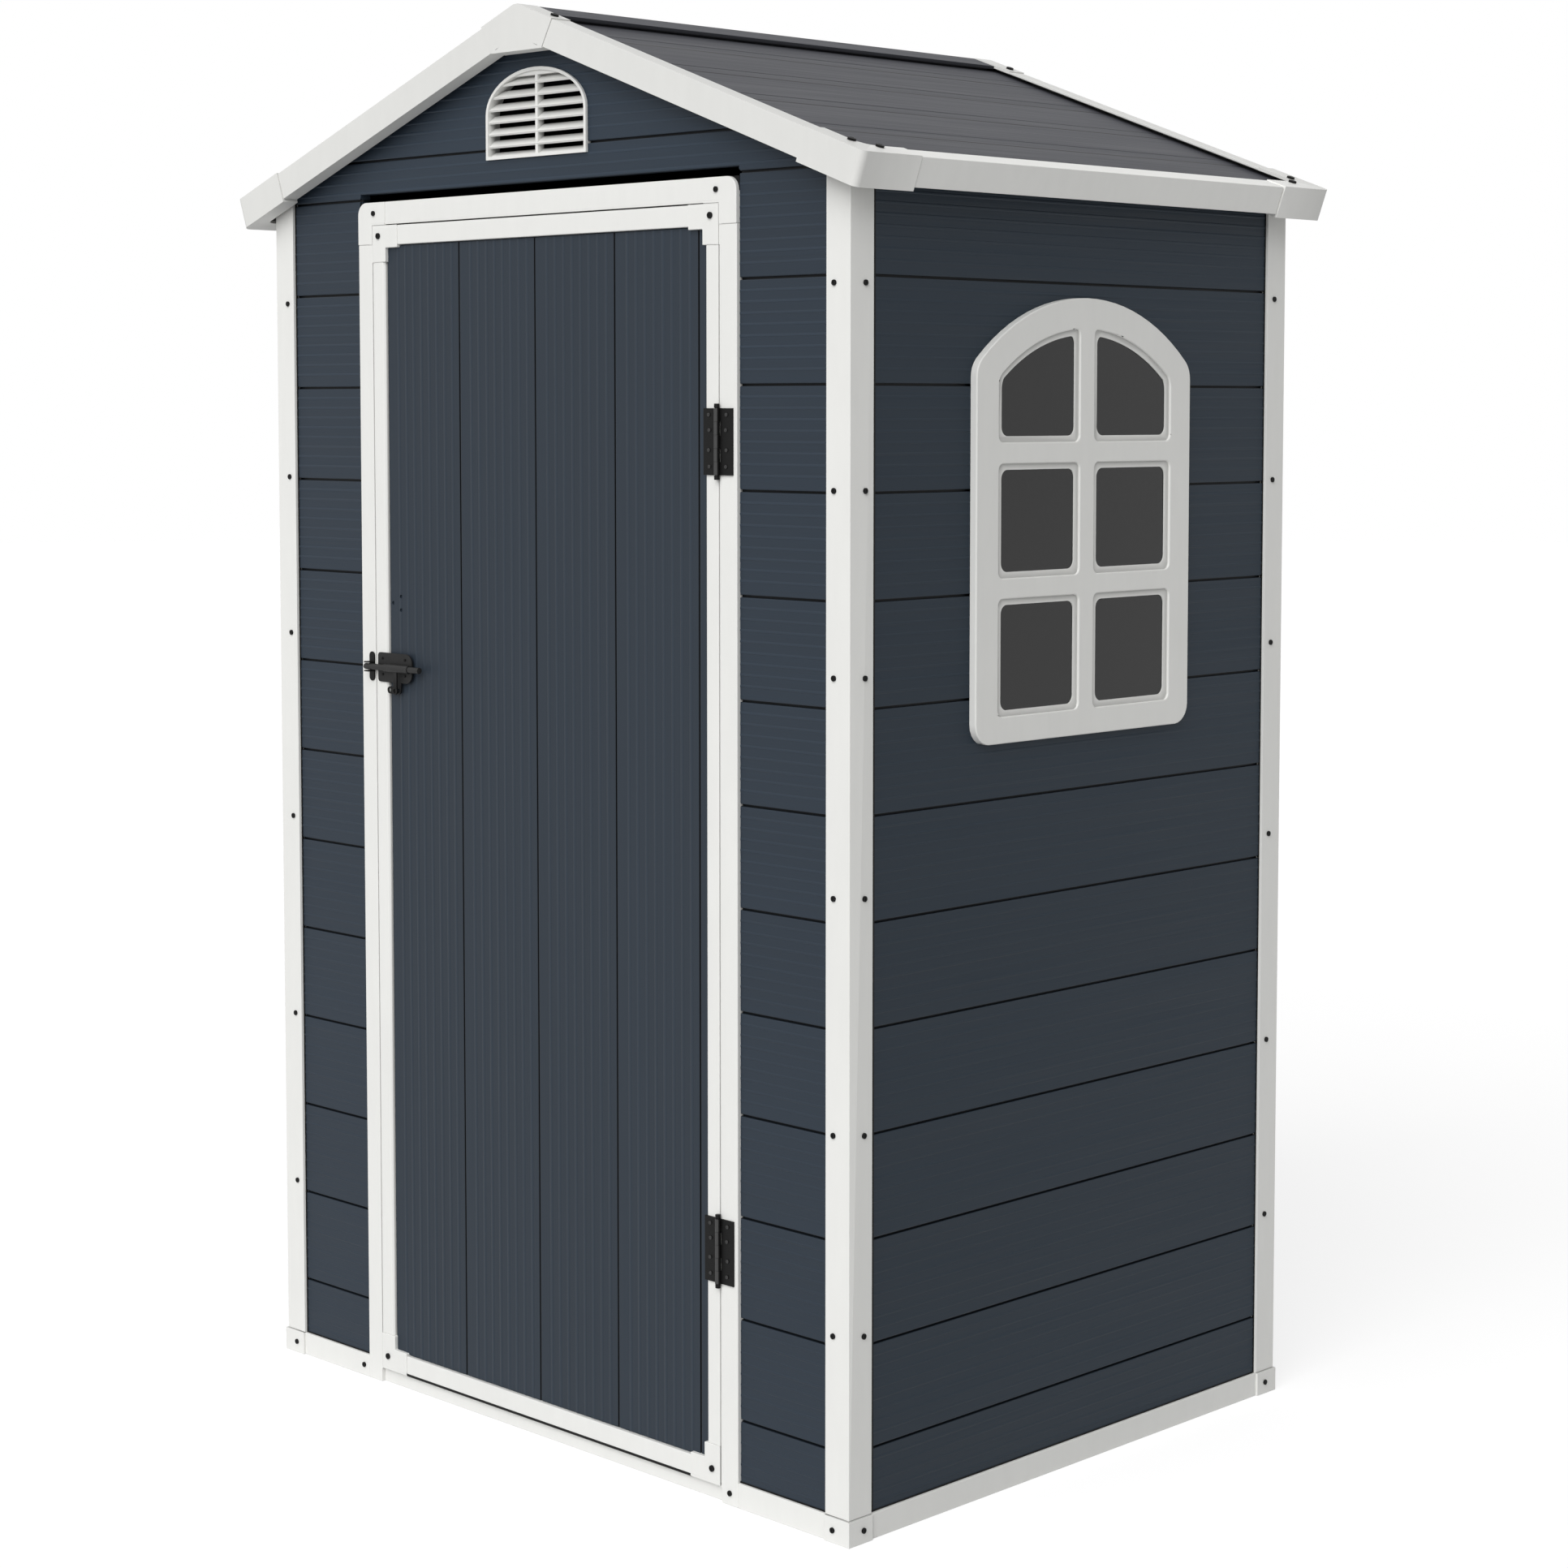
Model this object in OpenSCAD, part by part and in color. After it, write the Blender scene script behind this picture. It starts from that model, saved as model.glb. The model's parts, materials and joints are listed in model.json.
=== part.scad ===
// Plastic garden shed with a ridged roof, a hinged door, a barrel bolt and one arched window.
// Millimetres. Z is up, X runs to the right of the front and the front looks along -Y.
// The origin is on the ground, under the middle of the shed.

/* [Body] */
// Width over the corner posts
body_w = 1200; // [1100:10:1600]
// Depth over the corner posts
body_d = 910; // [800:10:1500]
// Height of the seam between the end walls and the gables
gable_z = 1760; // [1600:5:1950]
// Thickness of the wall boards
wall_t = 18; // [12:1:24]
// How far the board faces lie behind the posts
wall_inset = 4; // [2:0.5:8]

/* [Corner posts and base] */
// Width of a corner post on each face
post_w = 42; // [36:1:60]
// Wall of the hollow corner post
post_t = 3; // [2:0.5:5]
// Height of the sills and of the corner feet
sill_h = 34; // [26:1:50]
// Depth of the sills, front to back
sill_d = 40; // [34:1:42]
// How far the corner feet stand proud of the posts
foot_proud = 3; // [1:0.5:6]
// Height of the peg that goes up into the post
peg_h = 30; // [10:1:60]
// Room around the peg inside the post
peg_gap = 0.25; // [0.1:0.05:0.6]
// Thickness of the floor panel
floor_t = 16; // [10:1:25]

/* [Door frame] */
// Width over the door frame
frame_w = 794; // [700:2:840]
// Width of each jamb
jamb_w = 30.5; // [26:0.5:40]
// Depth of the door frame, front to back
frame_d = 35; // [28:1:44]
// Gap between the top of the door frame and the gable
frame_drop = 8; // [3:0.5:14]
// Height of the notch in the front gable over the door frame
gable_notch = 5; // [1:1:12]
// Height of the head rail's section
head_h = 31; // [26:1:40]
// Length of a frame corner piece along the head
frame_arm_x = 62; // [50:1:90]
// Length of a frame corner piece down the jamb
frame_arm_z = 61; // [50:1:90]
// Outer corner radius of the frame corner pieces
frame_corner_r = 18; // [6:1:22]
// How far the corner pieces of frame and leaf stand proud
corner_proud = 1; // [0.5:0.25:2]
// Height of the threshold
threshold_h = 20; // [12:1:24]
// How far the threshold lies behind the face of the jambs
threshold_inset = 6; // [4:1:16]

/* [Door leaf] */
// Gap all round the door leaf
leaf_gap = 5; // [3:0.5:7]
// Width of the stiles
stile_w = 24; // [20:1:45]
// Height of the leaf's top and bottom rails
rail_h = 26.5; // [22:0.5:60]
// Depth of the leaf's frame, front to back
leaf_d = 28; // [22:1:34]
// Thickness of the door board
door_board_t = 12; // [8:1:16]
// Length of a leaf corner piece along the rail
leaf_arm_x = 55; // [45:1:80]
// Length of a leaf corner piece along the stile
leaf_arm_z = 51; // [45:1:80]
// How much wider than the stiles and rails the leaf corner pieces are
leaf_corner_lap = 4; // [1:0.5:8]

/* [Hinges] */
// Distance of the lower hinge's middle from the leaf's bottom
hinge_low_up = 316; // [150:1:400]
// Distance of the upper hinge's middle from the leaf's top
hinge_high_down = 306; // [150:1:400]
// Height of a hinge plate
hinge_h = 87; // [60:1:120]
// Reach of each hinge plate from the pin
hinge_reach = 27; // [20:1:32]
// Thickness of a hinge plate
hinge_t = 2.5; // [2:0.25:3.5]
// Outer radius of the knuckles
knuckle_r = 4; // [3.5:0.25:5]
// Radius of the hinge pin
hinge_pin_r = 2.2; // [1.8:0.1:2.6]
// Room around the hinge pin in the knuckles
pin_gap = 0.05; // [0.02:0.01:0.1]
// Room between neighbouring knuckles
knuckle_gap = 0.3; // [0.2:0.1:0.6]
// Height of the pin's round end beyond the knuckles
pin_end_h = 6; // [3:0.5:8]
// Radius of the pin's round ends
pin_end_r = 3.6; // [3:0.1:3.9]
// How far the pin's middle lies in front of the faces of jamb and leaf
pin_out = 4.3; // [4.2:0.1:6]

/* [Barrel bolt] */
// Height of the bolt
bolt_z = 1074.5; // [900:0.5:1250]
// Radius of the bolt
bolt_r = 4.5; // [3.5:0.25:5]
// Length of the bolt
bolt_len = 126; // [110:1:150]
// How far the bolt reaches past the leaf's edge
bolt_throw = 18; // [14:1:22]
// Travel of the bolt as it is drawn back
bolt_travel = 26; // [20:1:30]
// Room between the bolt and its barrel
bolt_gap = 0.1; // [0.05:0.05:0.3]
// Outer radius of the barrel
barrel_r = 5.8; // [5.6:0.1:8]
// Length of the barrel
barrel_len = 56; // [50:1:70]
// Height of the block between the barrel and its back plate
saddle_h = 10.5; // [9:0.5:11]
// Distance from the leaf's edge to the barrel
barrel_start = 28; // [20:1:40]
// Width of the bolt's back plate
plate_w = 79; // [70:1:90]
// Height of the bolt's back plate
plate_h = 43; // [36:1:60]
// Thickness of the back plate and the keeper plate
plate_t = 2; // [1.5:0.25:3]
// Distance from the leaf's edge to the back plate
plate_edge = 4; // [2:0.5:8]
// Radius of the left corners of the back plate
plate_r = 5; // [3:0.5:10]
// Radius of the right corners of the back plate
plate_big_r = 14; // [8:0.5:18]
// Distance from the barrel's left end to the middle of the locking tab
tab_at = 24; // [12:1:26]
// Width of the locking tab
tab_w = 8; // [6:0.5:10]
// Room around the locking tab in the barrel's slot
tab_gap = 0.5; // [0.3:0.1:1]
// Drop of the padlock holes below the middle of the bolt
eye_drop = 32.7; // [28:0.1:40]
// Distance between the two padlock holes
eye_pitch = 21; // [14:0.5:26]
// Width of the metal round a padlock hole
eye_rim = 2; // [1.5:0.25:3]
// Width of the keeper
keeper_w = 12; // [9:0.5:14]
// Room between the bolt and the keeper's ears
keeper_gap = 1; // [0.5:0.25:2]
// Thickness of the bolt's locking tab and of the padlock bar
tab_t = 2.5; // [2:0.25:3]
// Radius of the padlock holes
eye_r = 3.2; // [2.5:0.1:3.6]

/* [Window] */
// Width of the window frame
window_w = 450; // [360:2:560]
// Height of the window frame
window_h = 589; // [480:1:700]
// Distance from the gable seam down to the window frame's crown
window_drop = 159; // [100:1:250]
// Radius of the arched top
window_arch_r = 320; // [290:5:400]
// Radius of the shoulders of the window frame
window_shoulder_r = 34; // [30:1:45]
// Radius of the bottom corners of the window frame
window_corner_r = 28; // [24:1:40]
// How far the window frame stands proud of the boards
window_proud = 11; // [6:0.5:18]
// How far the window frame laps over the boards round its hole
window_lap = 14; // [8:1:18]
// Width of the window frame's border
window_border = 52; // [40:1:64]
// Room around the window frame in its hole, and around the glazing in its rebate
window_gap = 0.3; // [0.2:0.1:1]
// How far the glazing lies behind the face of the window frame
glazing_depth = 5; // [4:0.5:18]
// How far the glazing reaches behind the window frame's border
glazing_lap = 8; // [4:1:12]
// Thickness of the glazing
glazing_t = 3; // [2:0.5:5]

/* [Gable vents] */
// Width of a vent
vent_w = 219; // [160:1:260]
// Height of a vent's bottom over the gable seam
vent_lift = 34; // [20:1:40]
// Height of a vent's straight sides
vent_side_h = 66; // [40:1:70]
// Rise of a vent's arch
vent_rise = 65; // [40:1:70]
// How far a vent stands proud of the boards
vent_proud = 4; // [3:0.5:8]
// How far a vent laps over the boards round its hole
vent_lap = 5; // [4:0.25:6]
// Width of a vent's rim
vent_border = 9; // [8:0.5:12]
// Distance between the slats of a vent
slat_pitch = 16.8; // [13:0.1:22]
// Height of the lowest slat's middle over the border
slat_start = 0.5; // [0.5:0.5:4]
// How far the front edges of the slats lie behind the face of the vent
slat_inset = 3; // [2:0.5:6]
// Depth of a slat along its slope
slat_d = 15; // [12:0.5:20]
// Thickness of a slat
slat_t = 3; // [2:0.25:4]
// Slope of the slats
slat_angle = 40; // [25:1:55]
// Width of a vent's middle bar
vent_bar_w = 5; // [3:0.5:9]
// Height of the plate that closes the top of a vent, under the arch's outer top
vent_plate_h = 15; // [12:0.5:18]

/* [Roof] */
// Slope of the roof
roof_slope = 20; // [16:0.5:22]
// Height of the roof panels' underside over the gable seam, at the posts' outer faces
roof_lift = 5; // [3:0.5:30]
// Overhang of the roof trims past the end walls' posts
rake_overhang = 31.5; // [24:0.5:60]
// Overhang of the eaves trims past the side posts, at their top edge
eaves_overhang = 51; // [44:0.5:90]
// Height of the trims, square to the roof
trim_h = 40; // [34:1:44]
// Wall of the trims
trim_t = 3; // [2:0.5:4]
// Depth of the trims' top flange
trim_top_d = 33; // [24:1:44]
// Depth of the trims' bottom flange
trim_low_d = 25; // [12:1:28]
// Thickness of the roof panels
roof_panel_t = 9; // [6:1:14]
// Room between the trims' top flange and the roof panels
panel_drop = 6; // [1:0.5:8]
// Room between the roof panels and the webs of the trims
panel_gap = 0.5; // [0.3:0.1:1.5]
// Room between the walls' top edges and the roof panels
seat_gap = 0.2; // [0.1:0.05:0.6]
// Room between the ridge cap and the ridge end pieces
cap_gap = 0.4; // [0.2:0.1:1]
// How far the corner and ridge pieces stand proud of the trims
sleeve_proud = 1.5; // [0.5:0.25:3]
// How far the corner pieces hang below the trims
corner_low = 4.5; // [1.5:0.5:8]
// Length of the corner pieces along each edge of the roof
corner_arm = 107; // [80:1:140]
// Outer corner radius of the roof corner pieces
roof_corner_r = 10; // [6:1:16]
// Inner corner radius of the roof corner pieces
roof_inner_r = 22; // [10:1:24]
// Half width of the ridge end pieces at their top edge
ridge_end_top = 78; // [66:1:110]
// Half width of the ridge end pieces at their bottom edge
ridge_end_low = 53; // [44:1:64]
// Reach of the ridge cap down each slope
ridge_cap_reach = 45; // [30:1:60]
// How far the legs of the ridge cap lie behind its edges
ridge_leg_in = 12; // [6:1:20]

/* [Hidden] */

white_trim = "#E8E8E6";
grey_board = "#39424B";
grey_roof = "#64656A";
grey_floor = "#55585C";
black_metal = "#2B2B2B";
smoked = "#3F3F3F";

// Cutters reach this far past what they cut
cut = 1;
// Smallest radius left where a rounded outline is moved inwards
least_r = 3;
$fn = 48;

half_w = body_w / 2;
half_d = body_d / 2;
// Inner faces of the corner posts
post_x = half_w - post_w;
post_y = half_d - post_w;
// Outer faces of the boards
board_x = half_w - wall_inset;
board_y = half_d - wall_inset;

// Door frame and leaf, from the middle outwards
frame_x = frame_w / 2;
jamb_x = frame_x - jamb_w;
frame_top = gable_z - frame_drop;
head_z = frame_top - head_h;
leaf_x = jamb_x - leaf_gap;
leaf_low = threshold_h + leaf_gap;
leaf_top = head_z - leaf_gap;
panel_x = leaf_x - stile_w;
front_y = -half_d;

// Hinge axis
hinge_x = (jamb_x + leaf_x) / 2;
hinge_y = front_y - pin_out;
hinge_low_z = leaf_low + hinge_low_up;
hinge_high_z = leaf_top - hinge_high_down;
knuckle_h = hinge_h / 5;

// Bolt axis and the left edge of the leaf
bolt_y = front_y - plate_t - barrel_r;
bolt_x0 = -leaf_x - bolt_throw;
barrel_x0 = -leaf_x + barrel_start;
// Middle of the locking tab, height of the padlock holes and radius of the metal round them
tab_x = barrel_x0 + tab_at;
eye_z = bolt_z - eye_drop;
bar_r = eye_r + eye_rim;

// Heights of the window frame and of the vents
window_top = gable_z - window_drop;
window_z = window_top - window_h;
vent_z = gable_z + vent_lift;

// Roof: u runs down the slope, v square to it, both from the ridge line of the trims
slope_tan = tan(roof_slope);
slope_cos = cos(roof_slope);
eaves_u = (half_w + eaves_overhang) / slope_cos;
rake_y = half_d + rake_overhang;
panel_v = trim_t + panel_drop;
seat_v = panel_v + roof_panel_t;
ridge_z = gable_z + roof_lift + half_w * slope_tan + seat_v / slope_cos;
corner_u = eaves_u + sleeve_proud - corner_arm;
corner_y = rake_y + sleeve_proud - corner_arm;
sleeve_u = eaves_u + sleeve_proud;
sleeve_y = rake_y + sleeve_proud;
ridge_low_z = ridge_z - ridge_end_low * slope_tan - trim_h / slope_cos;
// Place along the slope of the ridge seam's top and bottom end
seam_top_u = ridge_end_top;
seam_low_u = ridge_end_low / slope_cos + trim_h * slope_tan;

// Height of the walls' top edges, just under the roof panels, at a distance x from the middle
function roof_under(x) = ridge_z - (seat_v + seat_gap) / slope_cos - slope_tan * abs(x);

// Points of an arc from angle a to angle b in n steps
function arc(x, z, r, a, b, n) = [
    for (i = [0 : n]) [x + r * cos(a + (b - a) * i / n), z + r * sin(a + (b - a) * i / n)]
];

// Outline of the window, moved inwards by an inset: round bottom corners, shoulders and arch
function window_points(inset) =
    let (
        w = window_w / 2 - inset,
        low = window_z + inset,
        low_r = max(window_corner_r - inset, least_r),
        big_r = window_arch_r - inset,
        arch_z = window_top - window_arch_r,
        r = max(window_shoulder_r - inset, least_r),
        side = w - r,
        side_z = arch_z + sqrt(pow(big_r - r, 2) - side * side),
        turn = atan2(side_z - arch_z, side)
    )
    concat(
        arc(w - low_r, low + low_r, low_r, -90, 0, 6),
        arc(side, side_z, r, 0, turn, 5),
        arc(0, arch_z, big_r, turn, 180 - turn, 24),
        arc(-side, side_z, r, 180 - turn, 180, 5),
        arc(-w + low_r, low + low_r, low_r, 180, 270, 6)
    );

// Outline of a vent, moved inwards by an inset: straight sides under half an ellipse
function vent_points(inset) =
    let (
        w = vent_w / 2 - inset,
        rise = vent_rise - inset,
        spring = vent_z + vent_side_h
    )
    concat(
        [[-w, vent_z + inset], [w, vent_z + inset]],
        [for (i = [0 : 24]) [w * cos(i * 180 / 24), spring + rise * sin(i * 180 / 24)]]
    );

// Box given by its low and high corner
module block(low, high) {
    translate(low) cube(high - low);
}

// Flat outline drawn in X and Z, standing between two places along Y
module upright_y(y0, y1) {
    translate([0, y1, 0]) rotate([90, 0, 0]) linear_extrude(y1 - y0) children();
}

// Flat outline drawn in Y and Z, standing between two places along X
module upright_x(x0, x1) {
    translate([x0, 0, 0]) rotate([90, 0, 90]) linear_extrude(x1 - x0) children();
}

module left_and_right() {
    children();
    mirror([1, 0, 0]) children();
}

module front_and_rear() {
    children();
    mirror([0, 1, 0]) children();
}

// Frame of the right roof slope: X runs down the slope and Z square to it
module on_slope() {
    translate([0, 0, ridge_z]) rotate([0, roof_slope, 0]) children();
}

// Everything above the line where posts and gables end, just under the roof panels
module above_roof() {
    far = half_w + eaves_overhang;
    upright_y(-rake_y, rake_y) polygon([
        [-far, roof_under(far)], [0, roof_under(0)], [far, roof_under(far)],
        [far, ridge_z + trim_h], [-far, ridge_z + trim_h]
    ]);
}

// ---- Base ----

module foot() {
    inner = post_t + peg_gap;
    block([post_x, -half_d - foot_proud, 0], [half_w + foot_proud, -post_y, sill_h]);
    block(
        [post_x + inner, -half_d + inner, sill_h - cut],
        [half_w - inner, -post_y - inner, sill_h + peg_h]
    );
}

module corner_feet() {
    color(white_trim) front_and_rear() left_and_right() foot();
}

module front_sills() {
    color(white_trim) left_and_right()
        block([frame_x, -half_d, 0], [post_x, -half_d + sill_d, sill_h]);
}

module threshold() {
    color(white_trim)
        block([-jamb_x, front_y + threshold_inset, 0], [jamb_x, front_y + sill_d, threshold_h]);
}

module side_sill() {
    color(white_trim) block([half_w - sill_d, -post_y, 0], [half_w, post_y, sill_h]);
}

module rear_sill() {
    color(white_trim) block([-post_x, half_d - sill_d, 0], [post_x, half_d, sill_h]);
}

// The floor lies between the sills, with its corners cut out round the feet
module floor_panel() {
    color(grey_floor) difference() {
        block(
            [-half_w + sill_d, -half_d + sill_d, 0],
            [half_w - sill_d, half_d - sill_d, floor_t]
        );
        front_and_rear() left_and_right()
            block([post_x, -half_d, -cut], [half_w, -post_y, floor_t + cut]);
    }
}

// ---- Posts and walls ----

module post() {
    color(white_trim) difference() {
        block([post_x, -half_d, sill_h], [half_w, -post_y, ridge_z]);
        block(
            [post_x + post_t, -half_d + post_t, sill_h - cut],
            [half_w - post_t, -post_y - post_t, ridge_z + cut]
        );
        above_roof();
    }
}

module front_wall_side() {
    color(grey_board) block([frame_x, -board_y, sill_h], [post_x, -board_y + wall_t, gable_z]);
}

module gable() {
    color(grey_board) difference() {
        upright_y(-board_y, -board_y + wall_t) polygon([
            [-post_x, gable_z], [post_x, gable_z],
            [post_x, roof_under(post_x)], [0, roof_under(0)], [-post_x, roof_under(post_x)]
        ]);
        upright_y(-board_y - cut, -board_y + wall_t + cut) polygon(vent_points(vent_lap));
    }
}

module front_gable() {
    color(grey_board) difference() {
        gable();
        block(
            [-frame_x, -board_y - cut, gable_z - cut],
            [frame_x, -board_y + wall_t + cut, gable_z + gable_notch]
        );
    }
}

module side_wall() {
    inner_x = board_x - wall_t;
    upright_y(-post_y, post_y) polygon([
        [inner_x, sill_h], [board_x, sill_h], [board_x, roof_under(board_x)], [inner_x, roof_under(inner_x)]
    ]);
}

module left_wall() {
    color(grey_board) mirror([1, 0, 0]) side_wall();
}

module right_wall() {
    color(grey_board) difference() {
        side_wall();
        upright_x(board_x - wall_t - cut, board_x + cut) polygon(window_points(window_lap));
    }
}

module rear_wall() {
    color(grey_board) block([-post_x, board_y - wall_t, sill_h], [post_x, board_y, gable_z]);
}

// ---- Window ----

// The frame laps over the boards, goes through their hole and has a rebate for the glazing
module window_frame() {
    front_x = board_x + window_proud;
    back_x = board_x - wall_t;
    color(white_trim) difference() {
        union() {
            upright_x(board_x, front_x) polygon(window_points(0));
            upright_x(back_x, board_x) polygon(window_points(window_lap + window_gap));
        }
        upright_x(back_x - cut, front_x + cut) polygon(window_points(window_border));
        upright_x(back_x - cut, front_x - glazing_depth)
            polygon(window_points(window_border - glazing_lap));
    }
}

module window_glazing() {
    front_x = board_x + window_proud - glazing_depth;
    color(smoked) upright_x(front_x - glazing_t, front_x)
        polygon(window_points(window_border - glazing_lap + window_gap));
}

// ---- Vents ----

// A slat slopes up towards the inside, and its front edge lies just behind the vent's face
module vent_slat(z) {
    mid_y = -board_y - vent_proud + slat_inset + slat_d / 2 * cos(slat_angle);
    translate([0, mid_y, z]) rotate([slat_angle, 0, 0])
        cube([vent_w - vent_border, slat_d, slat_t], center = true);
}

module vent() {
    front_y = -board_y - vent_proud;
    back_y = -board_y + wall_t;
    start_z = vent_z + vent_border + slat_start;
    room = vent_side_h + vent_rise - 2 * vent_border - slat_start;
    slat_y = front_y + slat_inset;
    slat_back_y = slat_y + slat_d * cos(slat_angle);
    plate_z = vent_z + vent_side_h + vent_rise - vent_plate_h;
    color(white_trim) {
        difference() {
            union() {
                upright_y(front_y, -board_y) polygon(vent_points(0));
                upright_y(-board_y, back_y) polygon(vent_points(vent_lap + window_gap));
            }
            upright_y(front_y - cut, back_y + cut) polygon(vent_points(vent_border));
        }
        intersection() {
            upright_y(front_y, back_y) polygon(vent_points(vent_border - cut));
            union() {
                for (i = [0 : floor(room / slat_pitch)]) vent_slat(start_z + i * slat_pitch);
                block([-vent_bar_w / 2, slat_y, vent_z], [vent_bar_w / 2, slat_back_y, ridge_z]);
                block([-vent_w / 2, slat_y, plate_z], [vent_w / 2, slat_back_y, ridge_z]);
            }
        }
    }
}

// ---- Door frame ----

module jamb() {
    color(white_trim) block([jamb_x, front_y, 0], [frame_x, front_y + frame_d, frame_top - frame_arm_z]);
}

module frame_head() {
    end_x = frame_x - frame_arm_x;
    color(white_trim) block([-end_x, front_y, head_z], [end_x, front_y + frame_d, frame_top]);
}

module frame_corner() {
    upright_y(front_y - corner_proud, front_y + frame_d + corner_proud) difference() {
        union() {
            translate([frame_x - frame_arm_x, frame_top - frame_arm_z])
                square([frame_arm_x - frame_corner_r, frame_arm_z]);
            translate([frame_x - frame_arm_x, frame_top - frame_arm_z])
                square([frame_arm_x, frame_arm_z - frame_corner_r]);
            translate([frame_x - frame_corner_r, frame_top - frame_corner_r]) circle(frame_corner_r);
        }
        translate([frame_x - frame_arm_x - cut, frame_top - frame_arm_z - cut])
            square([frame_arm_x - jamb_w + cut, frame_arm_z - head_h + cut]);
    }
}

module frame_corners() {
    color(white_trim) left_and_right() frame_corner();
}

// ---- Door leaf ----

// L shape of a leaf corner piece at the top right of the leaf, in X and Z
module leaf_corner_shape(room) {
    wide_x = stile_w + leaf_corner_lap + room;
    wide_z = rail_h + leaf_corner_lap + room;
    difference() {
        translate([leaf_x - leaf_arm_x - room, leaf_top - leaf_arm_z - room])
            square([leaf_arm_x + room, leaf_arm_z + room]);
        translate([leaf_x - leaf_arm_x - room - cut, leaf_top - leaf_arm_z - room - cut])
            square([leaf_arm_x + room + cut - wide_x, leaf_arm_z + room + cut - wide_z]);
    }
}

// The same shape at all four corners of the leaf
module leaf_corner_shapes(room) {
    mid = (leaf_low + leaf_top) / 2;
    for (side = [0, 1], end = [0, 1]) {
        mirror([side, 0]) translate([0, mid]) mirror([0, end]) translate([0, -mid])
            leaf_corner_shape(room);
    }
}

module door_corners() {
    color(white_trim) upright_y(front_y - corner_proud, front_y + leaf_d + corner_proud)
        leaf_corner_shapes(0);
}

module door_stile() {
    color(white_trim) block(
        [panel_x, front_y, leaf_low + leaf_arm_z],
        [leaf_x, front_y + leaf_d, leaf_top - leaf_arm_z]
    );
}

module door_rail(z) {
    end_x = leaf_x - leaf_arm_x;
    color(white_trim) block([-end_x, front_y, z], [end_x, front_y + leaf_d, z + rail_h]);
}

// The board's corners are cut out round the corner pieces
module door_panel() {
    board_low = leaf_low + rail_h;
    color(grey_board) difference() {
        block(
            [-panel_x, -board_y, board_low],
            [panel_x, -board_y + door_board_t, leaf_top - rail_h]
        );
        upright_y(-board_y - cut, -board_y + door_board_t + cut) leaf_corner_shapes(0);
    }
}

// ---- Hinges ----

// One knuckle with its tongue, k = 0 to 4 from the bottom, on the plate at side 1 or -1
module knuckle(k, side) {
    low = k * knuckle_h + (k == 0 ? 0 : knuckle_gap / 2);
    high = (k + 1) * knuckle_h - (k == 4 ? 0 : knuckle_gap / 2);
    translate([0, 0, low]) cylinder(r = knuckle_r, h = high - low);
    block(
        [side > 0 ? 0 : -knuckle_r - cut, pin_out - hinge_t, low],
        [side > 0 ? knuckle_r + cut : 0, pin_out, high]
    );
}

// One plate of a hinge: side 1 lies on the jamb and side -1 on the leaf
module hinge_leaf(side, knuckles) {
    near = knuckle_r + 2 * knuckle_gap;
    difference() {
        union() {
            block(
                [side > 0 ? near : -hinge_reach, pin_out - hinge_t, 0],
                [side > 0 ? hinge_reach : -near, pin_out, hinge_h]
            );
            for (k = knuckles) knuckle(k, side);
        }
        translate([0, 0, -cut]) cylinder(r = hinge_pin_r + pin_gap, h = hinge_h + 2 * cut);
    }
}

module at_hinges() {
    for (z = [hinge_low_z, hinge_high_z]) {
        translate([hinge_x, hinge_y, z - hinge_h / 2]) children();
    }
}

module hinge_frame_leaves() {
    color(black_metal) at_hinges() hinge_leaf(1, [0, 2, 4]);
}

module hinge_door_leaves() {
    color(black_metal) at_hinges() hinge_leaf(-1, [1, 3]);
}

module hinge_pins() {
    color(black_metal) at_hinges() {
        translate([0, 0, -pin_end_h]) cylinder(r = hinge_pin_r, h = hinge_h + 2 * pin_end_h);
        for (z = [-pin_end_h, hinge_h + knuckle_gap]) {
            translate([0, 0, z]) cylinder(r = pin_end_r, h = pin_end_h - knuckle_gap);
        }
    }
}

// ---- Barrel bolt ----

module plate_outline() {
    left = -leaf_x + plate_edge;
    right = left + plate_w;
    low = bolt_z - plate_h / 2;
    high = bolt_z + plate_h / 2;
    translate([left + plate_r, low]) square([plate_w - plate_r - plate_big_r, plate_h]);
    translate([left, low + plate_r]) square([plate_r + cut, plate_h - 2 * plate_r]);
    translate([right - plate_big_r - cut, low + plate_big_r])
        square([plate_big_r + cut, plate_h - 2 * plate_big_r]);
    for (z = [low + plate_r, high - plate_r]) translate([left + plate_r, z]) circle(plate_r);
    for (z = [low + plate_big_r, high - plate_big_r])
        translate([right - plate_big_r, z]) circle(plate_big_r);
}

// Bar under the plate with the two padlock holes
module padlock_bar() {
    difference() {
        union() {
            translate([tab_x - eye_pitch, eye_z - bar_r]) square([eye_pitch, 2 * bar_r]);
            translate([tab_x - eye_pitch, eye_z]) circle(bar_r);
            translate([tab_x, eye_z]) circle(bar_r);
            translate([tab_x - bar_r, eye_z]) square([2 * bar_r, bolt_z - eye_z]);
        }
        for (x = [tab_x - eye_pitch, tab_x]) translate([x, eye_z]) circle(eye_r);
    }
}

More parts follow.
